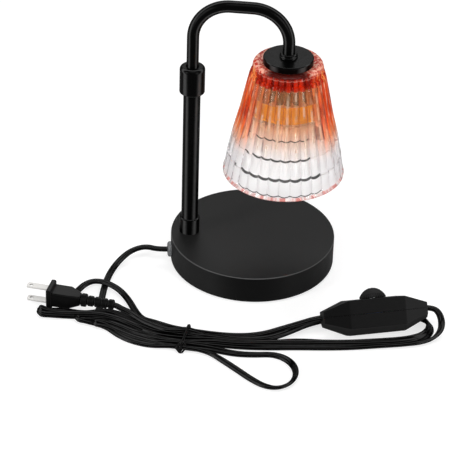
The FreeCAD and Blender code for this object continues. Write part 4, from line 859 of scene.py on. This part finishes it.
BLADE_PITCH = 0.0127
BLADE_W = 0.00635
BLADE_T = 0.0015
BLADE_TIP = -0.0185
BLADE_ROOT = 0.0030
HOLE_X = -0.0148
HOLE_R = 0.0016
nickel = mottled("nickel_plate", (0.68, 0.67, 0.65), 0.34, 900.0, (0.62, 0.61, 0.59),
                 (0.74, 0.73, 0.71), Metallic=0.2)
(grain(nickel, 900.0) * 0.22 + 0.24).drives("Roughness")
blade_form = bmesh.new()
for side in (-1, 1):
    outline = bmesh.new()
    level = side * BLADE_PITCH / 2 - BLADE_T / 2
    corners = [outline.verts.new((x, y * BLADE_W / 2, level)) for x, y in (
        (BLADE_ROOT, -1), (BLADE_TIP, -1), (BLADE_TIP, 1), (BLADE_ROOT, 1))]
    for k in range(4):
        outline.edges.new((corners[k], corners[(k + 1) % 4]))
    bmesh.ops.bevel(outline, geom=corners[1:3], offset=0.0018, affect="VERTICES", segments=5,
                    profile=0.5, material=-1)
    bmesh.ops.create_circle(outline, segments=24, radius=HOLE_R,
                            matrix=Matrix.Translation((HOLE_X, 0, level)))
    flat = bmesh.ops.triangle_fill(outline, edges=outline.edges, use_beauty=True)["geom"]
    flat = [f for f in flat if isinstance(f, bmesh.types.BMFace)]
    risen = bmesh.ops.extrude_face_region(outline, geom=flat)["geom"]
    bmesh.ops.translate(outline, vec=(0, 0, BLADE_T),
                        verts=[g for g in risen if isinstance(g, bmesh.types.BMVert)])
    one_blade = bpy.data.meshes.new("blade")
    outline.to_mesh(one_blade)
    outline.free()
    blade_form.from_mesh(one_blade)
blades = piece("plug_blade_pair", blade_form, nickel, "foot", plug_place)
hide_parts("plug_blades")

SLEEVE_START = 0.0273
SLEEVE_PITCH = 0.0058
SLEEVE_RIBS = (0.0056, 0.0045, 0.0044, 0.0043, 0.0042)
CORD_BORE = 0.0027
ribs = [(CORD_BORE, SLEEVE_START), (0.0044, SLEEVE_START)]
for number, rib in enumerate(SLEEVE_RIBS):
    core = 0.0037 - 0.0006 * number / 4
    start = SLEEVE_START + number * SLEEVE_PITCH
    ribs += [(core, start + 0.16 * SLEEVE_PITCH), (rib, start + 0.22 * SLEEVE_PITCH, 0.0005),
             (rib, start + 0.90 * SLEEVE_PITCH, 0.0005), (core, start + 0.97 * SLEEVE_PITCH)]
ribs.append((CORD_BORE, SLEEVE_START + len(SLEEVE_RIBS) * SLEEVE_PITCH))
sleeve = piece("ribbed_sleeve", turned(ribs, 48, closed=True), plug_pvc, "foot",
               plug_place @ Matrix.Rotation(math.radians(90), 4, "Y"))
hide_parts("strain_relief")

# ---- twist tie ---------------------------------------------------------------------------
# Plastic-covered wire wound once round the hank, its two ends twisted together in front.
TIE_X = -0.0540
TIE_LEAN = 0.22
TIE_MIDDLE_Y = -0.1278
TIE_T = 0.0009
tie_band = bmesh.new()
band_path = ((-0.1128, 0.0008), (-0.1127, 0.0055), (-0.1150, 0.0090), (-0.1200, 0.0092),
             (-0.1240, 0.0072), (-0.1380, 0.0066), (-0.1418, 0.0052), (-0.1428, 0.0012),
             (-0.1400, 0.0002), (-0.1140, 0.0002))
strands = [[(TIE_X + TIE_LEAN * (y - TIE_MIDDLE_Y), y, z) for y, z in band_path],
           [(-0.0560, -0.1361, 0.0072), (-0.0594, -0.1393, 0.0058), (-0.0602, -0.1415, 0.0036),
            (-0.0570, -0.1440, 0.0012)],
           [(-0.0553, -0.1360, 0.0072), (-0.0534, -0.1389, 0.0054), (-0.0535, -0.1414, 0.0030),
            (-0.0562, -0.1442, 0.0010)]]
for strand in strands:
    verts = [tie_band.verts.new(place) for place in strand]
    closing = 0 if strand is strands[0] else 1
    for k in range(len(verts) - closing):
        tie_band.edges.new((verts[k], verts[(k + 1) % len(verts)]))
grown = bmesh.ops.extrude_edge_only(tie_band, edges=tie_band.edges[:])["geom"]
bmesh.ops.translate(tie_band, vec=(0.0020, 0.0004, 0),
                    verts=[g for g in grown if isinstance(g, bmesh.types.BMVert)])
tie = piece("tie_band", tie_band, plug_pvc, "foot", crease=60.0, flats=False)
band_wall = tie.modifiers.new("wall", "SOLIDIFY")
band_wall.thickness = TIE_T
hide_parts("twist_tie")

# ---- pieces inside -----------------------------------------------------------------------
# What the shells hide keeps its solid's own shape: cast iron ballast, zinc-plated steel plates and
# screws, nylon and silicone mouldings, brass contacts, a ceramic socket and the dimmer's board.
iron = mottled("cast_iron", (0.10, 0.10, 0.10), 0.7, 700.0, (0.06, 0.06, 0.06), (0.14, 0.13, 0.12),
               5.0, Metallic=0.6)
relief(grain(iron, 700.0, 5.0), 0.0003, 0.6)
zinc = mottled("zinc_plate", (0.58, 0.59, 0.60), 0.34, 380.0, (0.48, 0.50, 0.52),
               (0.66, 0.66, 0.64), 3.0, Metallic=1.0)
nylon = mottled("white_nylon", (0.74, 0.73, 0.70), 0.45, 600.0, (0.68, 0.67, 0.64),
                (0.78, 0.77, 0.74))
silicone = mottled("white_silicone", (0.70, 0.69, 0.66), 0.55, 420.0, (0.62, 0.61, 0.58),
                   (0.76, 0.75, 0.72))
rubber = mottled("grey_silicone", (0.20, 0.20, 0.21), 0.6, 500.0, (0.16, 0.16, 0.17),
                 (0.24, 0.24, 0.25))
brass = mottled("brass", (0.62, 0.44, 0.18), 0.3, 520.0, (0.52, 0.35, 0.13), (0.70, 0.52, 0.24),
                Metallic=1.0)
blue = mottled("blue_plastic", (0.03, 0.10, 0.40), 0.4, 480.0, (0.02, 0.08, 0.34),
               (0.05, 0.13, 0.46))
board = mottled("green_board", (0.02, 0.17, 0.07), 0.35, 900.0, (0.015, 0.13, 0.05),
                (0.03, 0.22, 0.09))
for material, names in (
        (iron, "ballast_weight"),
        (zinc, "base_plate base_screws pole_washer pole_nut head_nut socket_screws socket_spacers"),
        (zinc, "switch_screws dial_shaft"),
        (nylon, "cord_clamp wire_crimps collet guide_bush"),
        (silicone, "lead_coil arm_lead base_wires"),
        (rubber, "shade_gasket"),
        (powder_coat, "clamp_ring"),
        (ceramic, "lamp_socket"),
        (brass, "socket_contacts"),
        (nickel, "bulb_pins"),
        (cord_skin, "inner_cord cord_grips"),
        (blue, "potentiometer"),
        (board, "circuit_board")):
    for name in names.split():
        for material_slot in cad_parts[name].material_slots:
            material_slot.material = material
